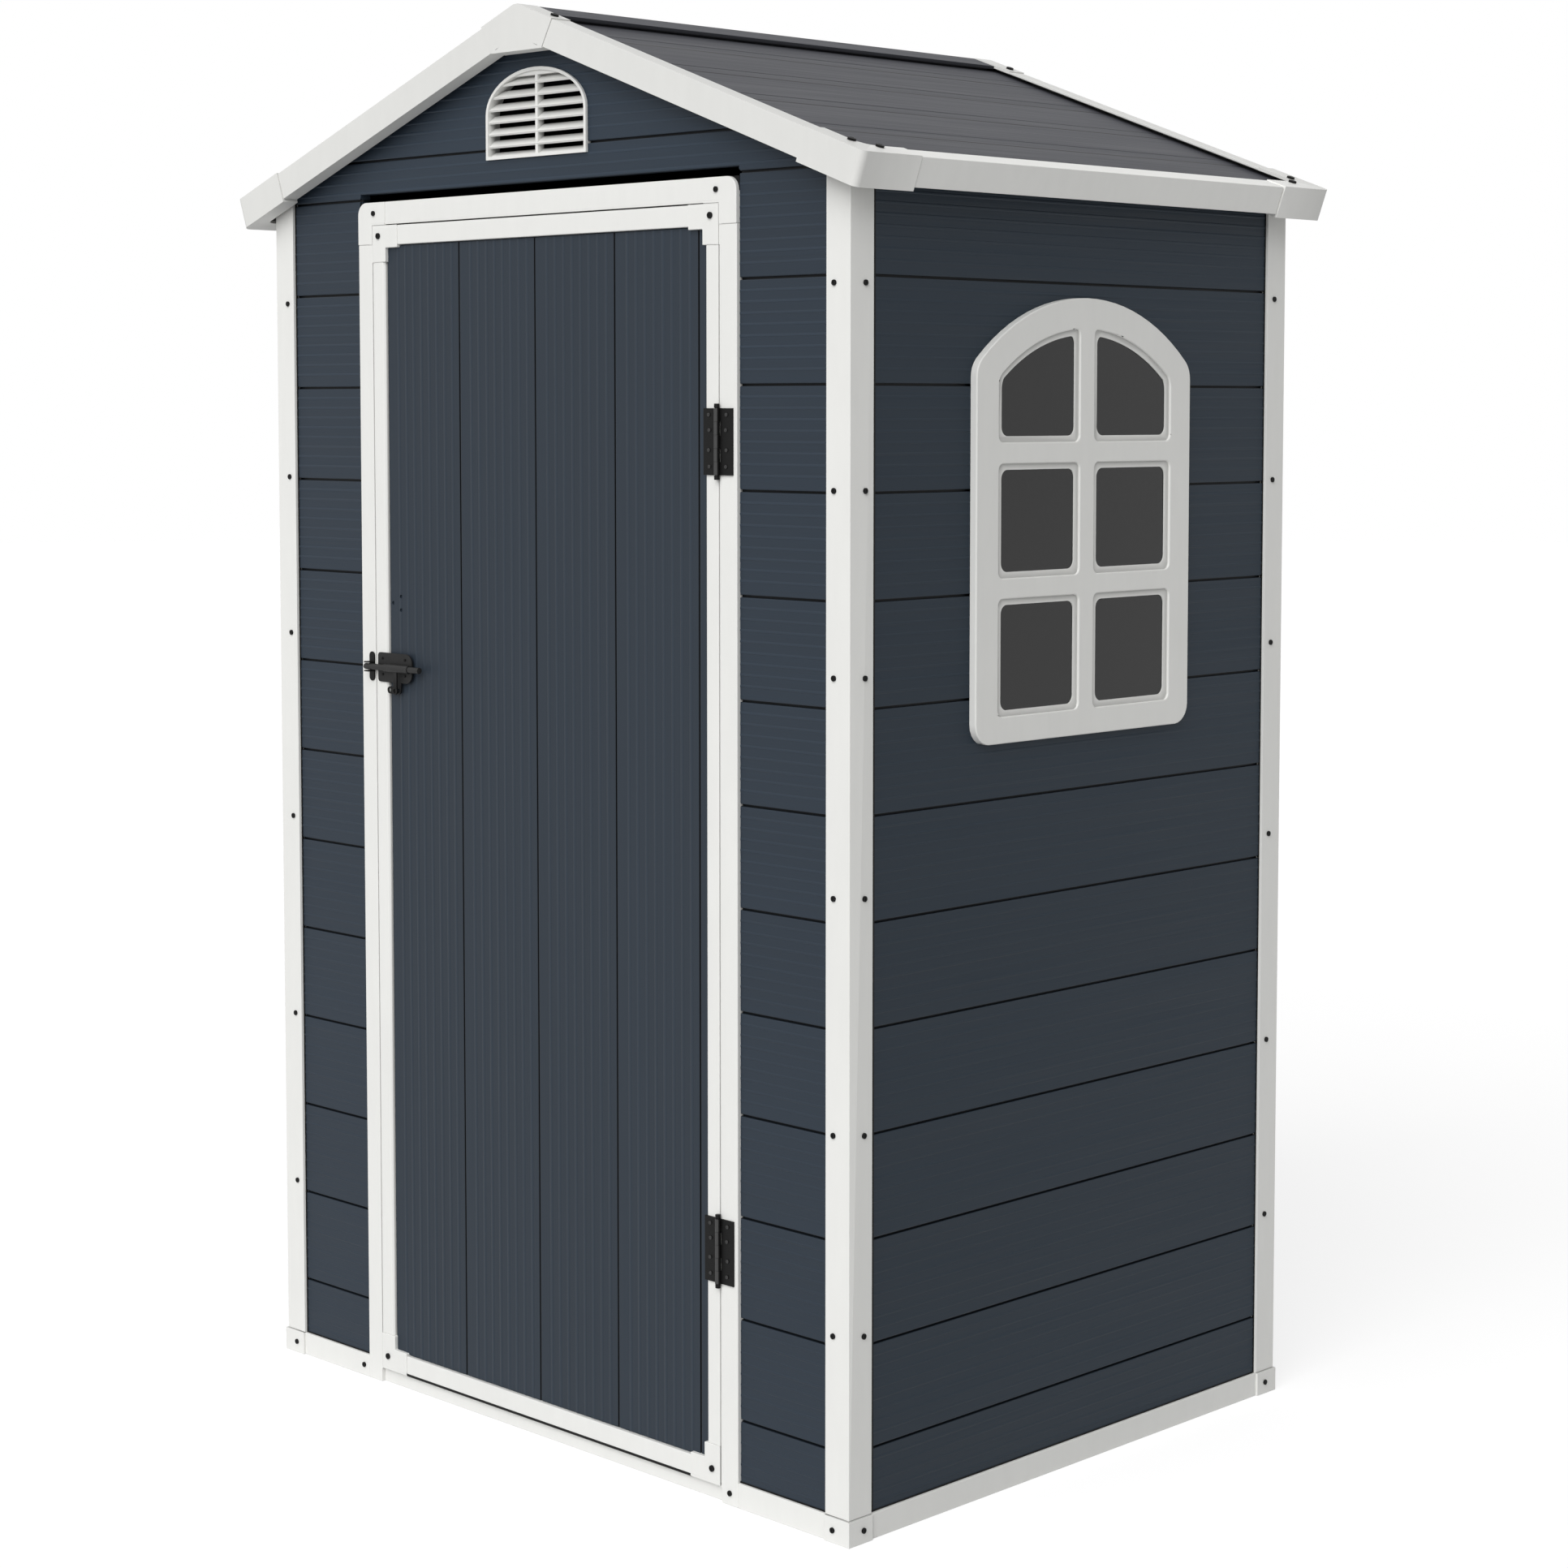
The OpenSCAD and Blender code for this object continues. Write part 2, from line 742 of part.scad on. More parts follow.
module latch_plate() {
    slot_x0 = tab_x - tab_w / 2 - tab_gap;
    slot_x1 = tab_x + tab_w / 2 + bolt_travel + tab_gap;
    slot_y = tab_t / 2 + tab_gap;
    color(black_metal) difference() {
        union() {
            upright_y(front_y - plate_t, front_y) plate_outline();
            upright_y(front_y - plate_t, front_y) padlock_bar();
            translate([barrel_x0, bolt_y, bolt_z]) rotate([0, 90, 0])
                cylinder(r = barrel_r, h = barrel_len);
            block(
                [barrel_x0, bolt_y + bolt_r, bolt_z - saddle_h / 2],
                [barrel_x0 + barrel_len, front_y - plate_t / 2, bolt_z + saddle_h / 2]
            );
        }
        translate([barrel_x0 - cut, bolt_y, bolt_z]) rotate([0, 90, 0])
            cylinder(r = bolt_r + bolt_gap, h = barrel_len + 2 * cut);
        block(
            [slot_x0, bolt_y - slot_y, bolt_z - barrel_r - cut],
            [slot_x1, bolt_y + slot_y, bolt_z]
        );
    }
}

// The bolt, with a flat tab that hangs down in front of the padlock bar
module latch_bolt() {
    color(black_metal) {
        translate([bolt_x0, bolt_y, bolt_z]) rotate([0, 90, 0]) cylinder(r = bolt_r, h = bolt_len);
        upright_y(bolt_y - tab_t / 2, bolt_y + tab_t / 2) difference() {
            union() {
                translate([tab_x - tab_w / 2, eye_z]) square([tab_w, bolt_z - eye_z]);
                translate([tab_x, eye_z]) circle(bar_r);
            }
            translate([tab_x, eye_z]) circle(eye_r);
        }
    }
}

// The keeper is a plate on the jamb with an ear over and under the bolt
module latch_keeper() {
    right = -jamb_x;
    ear_z = bolt_r + keeper_gap;
    // Height of the middle of each round end above and below the bolt
    end_z = (plate_h - keeper_w) / 2;
    color(black_metal) {
        upright_y(front_y - plate_t, front_y) {
            translate([right - keeper_w, bolt_z - end_z]) square([keeper_w, 2 * end_z]);
            for (z = [bolt_z - end_z, bolt_z + end_z])
                translate([right - keeper_w / 2, z]) circle(keeper_w / 2);
        }
        for (z = [bolt_z - ear_z - plate_t, bolt_z + ear_z]) {
            block([right - keeper_w, bolt_y - bolt_r, z], [right, front_y - plate_t / 2, z + plate_t]);
        }
    }
}

// ---- Roof ----

module roof_panel() {
    start_u = seat_v * slope_tan + panel_gap;
    end_y = rake_y - trim_t - panel_gap;
    color(grey_roof) on_slope()
        block([start_u, -end_y, -seat_v], [eaves_u - trim_t - panel_gap, end_y, -panel_v]);
}

module ridge_cap() {
    end_y = rake_y - trim_top_d - cap_gap;
    leg_u = ridge_cap_reach - ridge_leg_in;
    color(grey_roof) left_and_right() on_slope() {
        block([0, -end_y, -trim_t], [ridge_cap_reach, end_y, 0]);
        block([leg_u - trim_t, -end_y, -panel_v], [leg_u, end_y, -trim_t]);
    }
}

// Place down the slope of the ridge seam at depth v under the trims' top
function seam_u(v) = seam_top_u + (seam_low_u - seam_top_u) * v / trim_h;

// Everything on the ridge's side of the seam between a rake trim and the ridge end piece
module past_seam() {
    low = trim_h + 2 * cut;
    upright_y(-sleeve_y - cut, 0) polygon([
        [-trim_h, 2 * cut], [seam_u(-2 * cut), 2 * cut], [seam_u(low), -low], [-trim_h, -low]
    ]);
}

module rake_trim() {
    on_slope() difference() {
        union() {
            block([0, -rake_y, -trim_h], [corner_u, -rake_y + trim_t, 0]);
            block([0, -rake_y, -trim_t], [corner_u, -rake_y + trim_top_d, 0]);
            block([0, -rake_y, -trim_h], [corner_u, -rake_y + trim_low_d, -trim_h + trim_t]);
        }
        past_seam();
    }
}

module front_rake_trims() {
    color(white_trim) left_and_right() rake_trim();
}

module rear_rake_trims() {
    color(white_trim) mirror([0, 1, 0]) left_and_right() rake_trim();
}

module eaves_trim() {
    on_slope() {
        block([eaves_u - trim_t, -corner_y, -trim_h], [eaves_u, corner_y, 0]);
        block([eaves_u - trim_top_d, -corner_y, -trim_t], [eaves_u, corner_y, 0]);
        block([eaves_u - trim_low_d, -corner_y, -trim_h], [eaves_u, corner_y, -trim_h + trim_t]);
    }
}

module eaves_trims() {
    color(white_trim) left_and_right() eaves_trim();
}

// Rectangle in the plane of the slope with its outer front corner rounded
module corner_patch(u0, u1, y0, y1, r) {
    translate([u0, y0]) square([u1 - u0 - r, y1 - y0]);
    translate([u0, y0 + r]) square([u1 - u0, y1 - y0 - r]);
    translate([u1 - r, y0 + r]) circle(r);
}

// Two arms of the given depth that meet at a front corner of the roof
module corner_arms(depth, inner_r) {
    difference() {
        corner_patch(corner_u, sleeve_u, -sleeve_y, -corner_y, roof_corner_r);
        corner_patch(corner_u - cut, sleeve_u - depth, -sleeve_y + depth, -corner_y + cut, inner_r);
    }
}

module roof_corner_cap() {
    wall = trim_t + sleeve_proud;
    on_slope() {
        translate([0, 0, -trim_h - corner_low]) linear_extrude(trim_h + corner_low + sleeve_proud)
            corner_arms(wall, panel_gap);
        translate([0, 0, -trim_t]) linear_extrude(trim_t + sleeve_proud)
            corner_arms(trim_top_d + sleeve_proud, roof_inner_r);
        translate([0, 0, -trim_h - corner_low]) linear_extrude(trim_t + sleeve_proud)
            corner_arms(trim_low_d + sleeve_proud, roof_corner_r);
    }
}

module roof_corner_caps() {
    color(white_trim) front_and_rear() left_and_right() roof_corner_cap();
}

// Point in the X-Z plane at run u down the right slope and depth v under the trims' top
function slope_point(u, v) = [
    u * slope_cos - v * sin(roof_slope), ridge_z - u * sin(roof_slope) - v * slope_cos
];

// Chevron of a ridge end piece, from its flat top down to a depth under the trims' top
module ridge_strip(depth, y0, y1) {
    flat_x = sleeve_proud / sin(roof_slope);
    outer = slope_point(seam_u(-sleeve_proud), -sleeve_proud);
    inner = slope_point(seam_u(depth), depth);
    upright_y(y0, y1) polygon([
        [-flat_x, ridge_z],
        [flat_x, ridge_z],
        outer,
        inner,
        [0, ridge_z - depth / slope_cos],
        [-inner.x, inner.y],
        [-outer.x, outer.y]
    ]);
}

module ridge_end_cap() {
    low_z = ridge_low_z - sleeve_proud;
    ridge_strip(trim_t, -sleeve_y, -rake_y + trim_top_d);
    ridge_strip(trim_h, -sleeve_y, -rake_y + trim_t);
    block(
        [-ridge_end_low, -sleeve_y, low_z],
        [ridge_end_low, -rake_y + trim_low_d, low_z + trim_t + sleeve_proud]
    );
    upright_y(-sleeve_y, -rake_y + trim_t) polygon([
        [-ridge_end_low, low_z], [ridge_end_low, low_z], [0, ridge_z - trim_h]
    ]);
}

module ridge_end_caps() {
    color(white_trim) front_and_rear() ridge_end_cap();
}

// ---- Assembly ----

corner_feet();
front_sills();
threshold();
mirror([1, 0, 0]) side_sill();  // left_sill
side_sill();  // right_sill
rear_sill();
floor_panel();
mirror([1, 0, 0]) post();  // post_front_left
post();  // post_front_right
mirror([0, 1, 0]) mirror([1, 0, 0]) post();  // post_rear_left
mirror([0, 1, 0]) post();  // post_rear_right
mirror([1, 0, 0]) front_wall_side();  // front_wall_left
front_wall_side();  // front_wall_right
front_gable();
left_wall();
right_wall();
rear_wall();
mirror([0, 1, 0]) gable();  // rear_gable
window_frame();
window_glazing();
vent();  // front_vent
mirror([0, 1, 0]) vent();  // rear_vent
mirror([1, 0, 0]) jamb();  // jamb_left
jamb();  // jamb_right
frame_head();
frame_corners();
hinge_frame_leaves();
hinge_pins();
latch_keeper();
mirror([1, 0, 0]) roof_panel();  // roof_panel_left
roof_panel();  // roof_panel_right
ridge_cap();
ridge_end_caps();
front_rake_trims();
rear_rake_trims();
eaves_trims();
roof_corner_caps();
door_panel();
mirror([1, 0, 0]) door_stile();  // door_stile_left
door_stile();  // door_stile_right
door_rail(leaf_top - rail_h);  // door_rail_top
door_rail(leaf_low);  // door_rail_bottom
door_corners();
hinge_door_leaves();
latch_plate();
latch_bolt();
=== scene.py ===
"""Looks of the plastic garden shed: edges, boarding, glazing, hardware, finishes and studio."""

import json
import math

import bmesh
import bpy
from mathutils import Matrix, Vector

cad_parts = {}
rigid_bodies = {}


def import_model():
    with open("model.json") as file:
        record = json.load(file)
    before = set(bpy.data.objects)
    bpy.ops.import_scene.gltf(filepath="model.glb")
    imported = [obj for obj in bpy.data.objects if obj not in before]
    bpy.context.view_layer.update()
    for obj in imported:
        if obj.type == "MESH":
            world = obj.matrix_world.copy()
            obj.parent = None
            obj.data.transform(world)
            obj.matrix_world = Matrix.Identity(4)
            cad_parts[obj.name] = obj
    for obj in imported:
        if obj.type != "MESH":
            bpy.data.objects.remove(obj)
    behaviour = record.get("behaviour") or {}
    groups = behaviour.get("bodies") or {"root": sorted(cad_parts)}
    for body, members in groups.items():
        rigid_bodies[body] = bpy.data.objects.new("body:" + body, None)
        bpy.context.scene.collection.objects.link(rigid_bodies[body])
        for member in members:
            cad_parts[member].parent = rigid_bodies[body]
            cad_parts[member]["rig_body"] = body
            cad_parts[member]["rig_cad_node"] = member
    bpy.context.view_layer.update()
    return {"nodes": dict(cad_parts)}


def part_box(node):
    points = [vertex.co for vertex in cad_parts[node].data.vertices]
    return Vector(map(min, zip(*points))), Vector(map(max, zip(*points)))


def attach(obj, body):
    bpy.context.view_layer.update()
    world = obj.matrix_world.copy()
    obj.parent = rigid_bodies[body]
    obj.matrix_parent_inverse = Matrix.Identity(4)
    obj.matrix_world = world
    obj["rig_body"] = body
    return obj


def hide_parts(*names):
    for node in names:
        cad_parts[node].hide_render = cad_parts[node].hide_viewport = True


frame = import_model()
PARTS = frame["nodes"]

MM = 0.001
TINY = 1e-5  # places nearer to each other than this are taken as one
FRONT, REAR = Vector((0, -1, 0)), Vector((0, 1, 0))
RIGHT, LEFT = Vector((1, 0, 0)), Vector((-1, 0, 0))
UP = Vector((0, 0, 1))
SLOPE = math.radians(20)
WALL_PITCH = 136.5 * MM
DOOR_PITCH = 164.4 * MM
PAST = 5 * MM  # how far a cutter reaches past what it cuts


# ---------- camera ----------

camera_data = bpy.data.cameras.new("studio_camera")
camera = bpy.data.objects.new("studio_camera", camera_data)
bpy.context.scene.collection.objects.link(camera)
camera.location = (3.2852, -3.2656, 1.4544)
looked_at = Vector((0.0294, 0, 1.1289))
aim = looked_at - camera.location
camera.rotation_euler = aim.to_track_quat("-Z", "Y").to_euler()
camera_data.lens = 71.47
camera_data.sensor_width = 36
camera_data.shift_y = -0.10
bpy.context.scene.camera = camera


# ---------- bench tools ----------


def pick(*objs):
    """Selects these objects alone and makes the first one active."""
    if bpy.context.object and bpy.context.object.mode != "OBJECT":
        bpy.ops.object.mode_set(mode="OBJECT")
    bpy.ops.object.select_all(action="DESELECT")
    for obj in objs:
        obj.select_set(True)
    bpy.context.view_layer.objects.active = objs[0]
    return objs[0]


def open_edit(obj):
    pick(obj)
    bpy.ops.object.mode_set(mode="EDIT")
    bpy.ops.mesh.select_all(action="DESELECT")


def close_edit():
    bpy.ops.object.mode_set(mode="OBJECT")


def face_outwards():
    """In edit mode, selects the whole mesh and turns its faces outwards."""
    bpy.ops.mesh.select_all(action="SELECT")
    bpy.ops.mesh.normals_make_consistent(inside=False)


def mark(obj, kind, test):
    """In edit mode, selects just the faces, edges or verts that pass the test."""
    bpy.ops.mesh.select_mode(type=kind)
    bpy.ops.mesh.select_all(action="DESELECT")
    mesh = bmesh.from_edit_mesh(obj.data)
    mesh.normal_update()
    parts = {"FACE": mesh.faces, "EDGE": mesh.edges, "VERT": mesh.verts}[kind]
    for part in [part for part in parts if test(part)]:
        part.select_set(True)
    mesh.select_flush_mode()
    bmesh.update_edit_mesh(obj.data)


def middle(edge):
    return (edge.verts[0].co + edge.verts[1].co) / 2


def bend_of(edge):
    """Angle between an edge's two faces, in degrees."""
    return math.degrees(edge.calc_face_angle(0))


def apply_modifier(obj, kind, **settings):
    pick(obj)
    modifier = obj.modifiers.new(kind.lower(), kind)
    for key, value in settings.items():
        setattr(modifier, key, value)
    bpy.ops.object.modifier_apply(modifier=modifier.name)
    return obj


def place(obj, matrix):
    """Moves a piece to its place and leaves that place in its mesh."""
    obj.matrix_world = matrix
    pick(obj)
    bpy.ops.object.transform_apply(location=True, rotation=True, scale=True)
    return obj


def box_piece(name, low, high):
    """A block between two corners, as the start of a piece."""
    low, high = Vector(low), Vector(high)
    bpy.ops.mesh.primitive_cube_add(size=1, location=(low + high) / 2)
    piece = bpy.context.object
    piece.name = name
    piece.scale = high - low
    bpy.ops.object.transform_apply(location=True, rotation=True, scale=True)
    return piece


def disc_piece(name, centre, radius, depth, along, sides=32):
    """A round bar centred at a point along an axis, as the start of a piece."""
    turn = Vector(along).to_track_quat("Z", "Y").to_euler()
    bpy.ops.mesh.primitive_cylinder_add(
        vertices=sides, radius=radius, depth=depth, location=centre, rotation=turn
    )
    piece = bpy.context.object
    piece.name = name
    bpy.ops.object.transform_apply(location=True, rotation=True, scale=True)
    return piece


def copy_of(source, name):
    """A free copy of an object with its own mesh."""
    pick(source)
    bpy.ops.object.duplicate()
    piece = bpy.context.object
    bpy.ops.object.parent_clear(type="CLEAR_KEEP_TRANSFORM")
    piece.name = name
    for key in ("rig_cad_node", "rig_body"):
        if key in piece:
            del piece[key]
    return piece


def cad_copy(node, name):
    """A copy of a CAD node with its triangles merged into clean flat faces."""
    piece = copy_of(PARTS[node], name)
    open_edit(piece)
    bpy.ops.mesh.select_all(action="SELECT")
    bpy.ops.mesh.remove_doubles(threshold=TINY)
    bpy.ops.mesh.dissolve_limited(angle_limit=math.radians(0.5))
    close_edit()
    return piece


def cut(piece, tool, operation="DIFFERENCE"):
    """Cuts, joins or trims a piece with a tool piece, which is used up."""
    apply_modifier(piece, "BOOLEAN", object=tool, operation=operation, solver="EXACT")
    bpy.data.objects.remove(tool)
    return piece


def join(name, pieces):
    pick(*pieces)
    if len(pieces) > 1:
        bpy.ops.object.join()
    piece = bpy.context.object
    piece.name = name
    return piece


def round_edges(piece, width, segments=3, least_bend=30):
    return apply_modifier(
        piece,
        "BEVEL",
        width=width,
        segments=segments,
        limit_method="ANGLE",
        angle_limit=math.radians(least_bend),
        miter_outer="MITER_ARC",
    )


def even_shading(piece, angle=40):
    """Smooth edges with flat faces that stay flat."""
    pick(piece)
    bpy.ops.object.shade_smooth_by_angle(angle=math.radians(angle))
    return apply_modifier(piece, "WEIGHTED_NORMAL", keep_sharp=True, weight=50)


def paint(piece, name, amount):
    """Writes a value on every point of a piece, for its finish to use."""
    layer = piece.data.attributes.new(name, "FLOAT", "POINT")
    for vert, cell in zip(piece.data.vertices, layer.data):
        cell.value = amount(vert.co)
    return piece


def reach(node, way):
    """Lowest and highest place of a CAD node along a direction."""
    places = [way.dot(vert.co) for vert in PARTS[node].data.vertices]
    return min(places), max(places)


def frame_of(first, second, third, origin):
    """Where a piece goes whose X, Y and Z follow three directions from an origin."""
    matrix = Matrix((first, second, third)).transposed().to_4x4()
    matrix.translation = origin
    return matrix


def slope_ways(side):
    """Directions down a roof slope and out of it, and the middle of the ridge."""
    down = Vector((side * math.cos(SLOPE), 0, -math.sin(SLOPE)))
    out = Vector((side * math.sin(SLOPE), 0, math.cos(SLOPE)))
    return down, out, Vector((0, 0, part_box("ridge_cap")[1].z))


def on_slope(side, name, low, high):
    """A block laid on a roof slope: run down the slope, place along Y and height over the trims."""
    block = box_piece(name, low, high)
    down, out, ridge = slope_ways(side)
    place(block, frame_of(down, REAR, out, ridge))
    open_edit(block)
    face_outwards()
    close_edit()
    return block


def dress(piece, body, finish, slot, *stands_for):
    """Gives a finished piece its material and its body, and hides the CAD nodes it stands for. The
    slot is not used.
    """
    piece.data.materials.clear()
    piece.data.materials.append(finish)
    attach(piece, body)
    if stands_for:
        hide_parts(*stands_for)
    return piece


# ---------- finishes ----------


def linear(code):
    """A colour written as six hex digits, as the shader wants it."""
    parts = [int(code[i : i + 2], 16) / 255 for i in (0, 2, 4)]
    return [c / 12.92 if c < 0.04045 else ((c + 0.055) / 1.055) ** 2.4 for c in parts] + [1]


class Finish:
    """A procedural material that is built up node by node."""

    def __init__(self, name):
        self.material = bpy.data.materials.new(name)
        self.material.use_nodes = True
        self.tree = self.material.node_tree
        self.shader = self.tree.nodes["Principled BSDF"]
        self.place = self.add("ShaderNodeTexCoord").outputs["Object"]

    def add(self, kind, inputs=None, **settings):
        node = self.tree.nodes.new(kind)
        for key, value in settings.items():
            setattr(node, key, value)
        for key, value in (inputs or {}).items():
            self.feed(node.inputs[key], value)
        return node

    def feed(self, socket, value):
        if isinstance(value, bpy.types.NodeSocket):
            self.tree.links.new(value, socket)
        else:
            socket.default_value = value

    def sums(self, operation, *values):
        node = self.add("ShaderNodeMath", operation=operation)
        for socket, value in zip(node.inputs, values):
            self.feed(socket, value)
        return node.outputs[0]

    def stretched(self, scale):
        return self.add("ShaderNodeMapping", {"Vector": self.place, "Scale": scale}).outputs[0]

    def noise(self, where, scale, detail=3.0, rough=0.55):
        return self.add(
            "ShaderNodeTexNoise",
            {"Vector": where, "Scale": scale, "Detail": detail, "Roughness": rough},
        ).outputs["Fac"]

    def between(self, value, low, high, new_low, new_high):
        return self.add(
            "ShaderNodeMapRange",
            {
                "Value": value,
                "From Min": low,
                "From Max": high,
                "To Min": new_low,
                "To Max": new_high,
            },
        ).outputs[0]

    def shade(self, colour, factor):
        """The colour made lighter or darker by a factor near 1."""
        grey = self.add(
            "ShaderNodeCombineColor", {"Red": factor, "Green": factor, "Blue": factor}
        ).outputs[0]
        mix = self.add("ShaderNodeMix", data_type="RGBA", blend_type="MULTIPLY")
        mix.inputs[0].default_value = 1
        self.feed(mix.inputs[6], colour)
        self.feed(mix.inputs[7], grey)
        return mix.outputs[2]

    def bump(self, height, distance, strength=1.0, under=None):
        node = self.add(
            "ShaderNodeBump", {"Height": height, "Distance": distance, "Strength": strength}
        )
        if under is not None:
            self.feed(node.inputs["Normal"], under)
        return node.outputs[0]

    def use(self, **sockets):
        names = {
            "colour": "Base Color",
            "rough": "Roughness",
            "normal": "Normal",
            "ior": "IOR",
            "specular": "Specular IOR Level",
            "transmission": "Transmission Weight",
        }
        for key, value in sockets.items():
            self.feed(self.shader.inputs[names[key]], value)
        return self.material


def moulded_white(name, colour):
    """White moulded plastic: faint clouding, flow marks, a satin skin, and painted shade in corners
    and seams where a piece carries it.
    """
    f = Finish(name)
    cloud = f.noise(f.place, 5.0, 4.0)
    flow = f.noise(f.stretched((14, 14, 3)), 4.0, 3.0)
    grain = f.noise(f.place, 900.0, 2.0)
    tone = f.sums(
        "ADD", f.between(cloud, 0.3, 0.7, -0.012, 0.012), f.between(flow, 0.3, 0.7, 0.988, 1.01)
    )
    # painted shade: a value painted on a piece's points darkens its colour where shade falls; a
    # value below nought paints light
    painted_shade = f.add("ShaderNodeAttribute", attribute_name="painted_shade").outputs["Fac"]
    tone = f.sums("MULTIPLY", tone, f.sums("SUBTRACT", 1.0, f.sums("MULTIPLY", painted_shade, 0.28)))
    rough = f.sums("ADD", f.between(grain, 0.3, 0.7, 0.36, 0.44), f.sums("MULTIPLY", cloud, 0.08))
    skin = f.bump(cloud, 0.0006, 0.4, f.bump(grain, 0.00006, 0.6))
    return f.use(colour=f.shade(linear(colour), tone), rough=rough, normal=skin, specular=0.35)


def boarding(name, colour, across, along, boards, ribs, glint, streaks=0.05, sheen=0.2):
    """Ribbed plastic boards: each has its own tone and streaks along it; the ribs are painted paler
    as a painted highlight and the grooves darker as painted shade.
    """
    pitch, first = boards
    f = Finish(name)
    axes = f.add("ShaderNodeSeparateXYZ", {"Vector": f.place}).outputs
    from_first = f.sums("SUBTRACT", axes["XYZ".index(across)], first)
    number = f.sums("FLOOR", f.sums("DIVIDE", from_first, pitch))
    own = f.add("ShaderNodeTexWhiteNoise", {"W": number}, noise_dimensions="1D").outputs["Value"]
    fine = [3 if axis == along else 420 for axis in "XYZ"]
    broad = [1.2 if axis == along else 30 for axis in "XYZ"]
    streak = f.noise(f.stretched(fine), 1.0, 3.0)
    band = f.noise(f.stretched(broad), 1.0, 2.0)
    streaked = f.between(streak, 0.3, 0.7, -streaks, streaks)
    tone = f.sums("ADD", f.between(own, 0, 1, 0.975, 1.025), streaked)
    tone = f.sums("ADD", tone, f.between(band, 0.3, 0.7, -0.03, 0.03))
    up = f.sums("FLOORED_MODULO", from_first, pitch)
    to_groove = f.sums("PINGPONG", up, pitch / 2)
    # painted shade: the colour is darkened along the middle of each groove
    groove_shade = 0.12
    tone = f.sums("MULTIPLY", tone, f.between(to_groove, 1.2 * MM, 2.2 * MM, groove_shade, 1.0))
    if ribs:
        count, rib_first, rib_step = ribs
        whole_steps = 100  # keep the distance above nought
        from_rib = f.sums("SUBTRACT", up, rib_first - rib_step * whole_steps)
        to_rib = f.sums("PINGPONG", from_rib, rib_step / 2)
        # painted highlight: the ribs' crests are painted paler by the glint factor
        lightened = f.between(to_rib, 0.9 * MM, 2.3 * MM, glint, 1.0)
        inside = f.sums("COMPARE", up, rib_first + rib_step * (count - 1) / 2, rib_step * count / 2)
        if across == "Z":  # low on the walls the painted highlight on the ribs is faint
            low, high, low_rub = 0.4, 1.4, 0.15
            inside = f.sums("MULTIPLY", inside, f.between(axes["Z"], low, high, low_rub, 1.0))
        lightened = f.sums("ADD", 1.0, f.sums("MULTIPLY", f.sums("SUBTRACT", lightened, 1.0), inside))
        tone = f.sums("MULTIPLY", tone, lightened)
    grain = f.noise(f.place, 700.0, 2.0)
    skin = f.bump(streak, 0.0004, streaks * 7, f.bump(grain, 0.0001, 0.5))
    cloudy = f.between(band, 0.3, 0.7, -0.03, 0.03)
    rough = f.sums("ADD", f.between(streak, 0.3, 0.7, 0.44, 0.58), cloudy)
    return f.use(colour=f.shade(linear(colour), tone), rough=rough, normal=skin, specular=sheen)


def black_hardware(name, colour):
    """Black coated hardware: a slightly pebbled coat that is worn a little in places, and painted
    paler where a piece carries it: painted highlight on front-most parts, wear on handled ones.
    """
    f = Finish(name)
    pebble = f.noise(f.place, 1400.0, 2.0)
    worn = f.noise(f.place, 60.0, 4.0)
    # painted on a piece's points, this makes the colour paler, as painted highlight and as wear
    lightened = f.add("ShaderNodeAttribute", attribute_name="highlight_and_wear").outputs["Fac"]
    tone = f.sums("ADD", f.between(worn, 0.35, 0.75, 0.9, 1.25), f.sums("MULTIPLY", lightened, 8.0))
    return f.use(
        colour=f.shade(linear(colour), tone),
        rough=f.between(worn, 0.3, 0.7, 0.42, 0.56),
        normal=f.bump(pebble, 0.00008, 0.7),
        specular=0.16,
    )


def smoked_sheet(name, colour):
    """Smoked glazing: dark clear sheet with faint waves and dust."""
    f = Finish(name)
    wave = f.noise(f.place, 7.0, 2.0)
    dust = f.noise(f.place, 160.0, 4.0)
    return f.use(
        colour=f.shade(linear(colour), f.between(dust, 0.3, 0.8, 0.94, 1.1)),
        rough=f.between(dust, 0.3, 0.8, 0.1, 0.2),
        normal=f.bump(wave, 0.0006, 0.5),
        transmission=0.35,
        ior=1.42,
    )


def floor_plastic(name, colour):
    """Grey floor plastic: scuffed, with a pebbled tread."""
    f = Finish(name)
    scuff = f.noise(f.stretched((6, 40, 6)), 1.0, 5.0)
    pebble = f.noise(f.place, 420.0, 2.0)
    return f.use(
        colour=f.shade(linear(colour), f.between(scuff, 0.3, 0.75, 0.9, 1.15)),
        rough=f.between(scuff, 0.3, 0.7, 0.5, 0.68),
        normal=f.bump(pebble, 0.0003, 0.6),
    )


# Place of one groove of each kind of boarding, from which the others are counted
WALL_FIRST = 118.4 * MM
GABLE_FIRST = 1812 * MM
DOOR_FIRST = -171.7 * MM
ROOF_FIRST = 108.5 * MM
# Number of ribs on a board, the first one's distance from the groove and their spacing
WALL_RIBS = (8, 19.6 * MM, 14.5 * MM)
DOOR_RIBS = (8, 25.4 * MM, 17.5 * MM)
# Spacing of the roof's grooves as seen from above
ROOF_ALONG_X = WALL_PITCH * math.cos(SLOPE)

WHITE = moulded_white("moulded_white_plastic", "E6E6E3")
WALL_GRAPHITE = boarding(
    "graphite_wall_boards", "28313B", "Z", "X", (WALL_PITCH, WALL_FIRST), WALL_RIBS, 1.22
)
GABLE_GRAPHITE = boarding(
    "graphite_gable_boards", "2A343F", "Z", "X", (WALL_PITCH, GABLE_FIRST), WALL_RIBS, 1.22
)
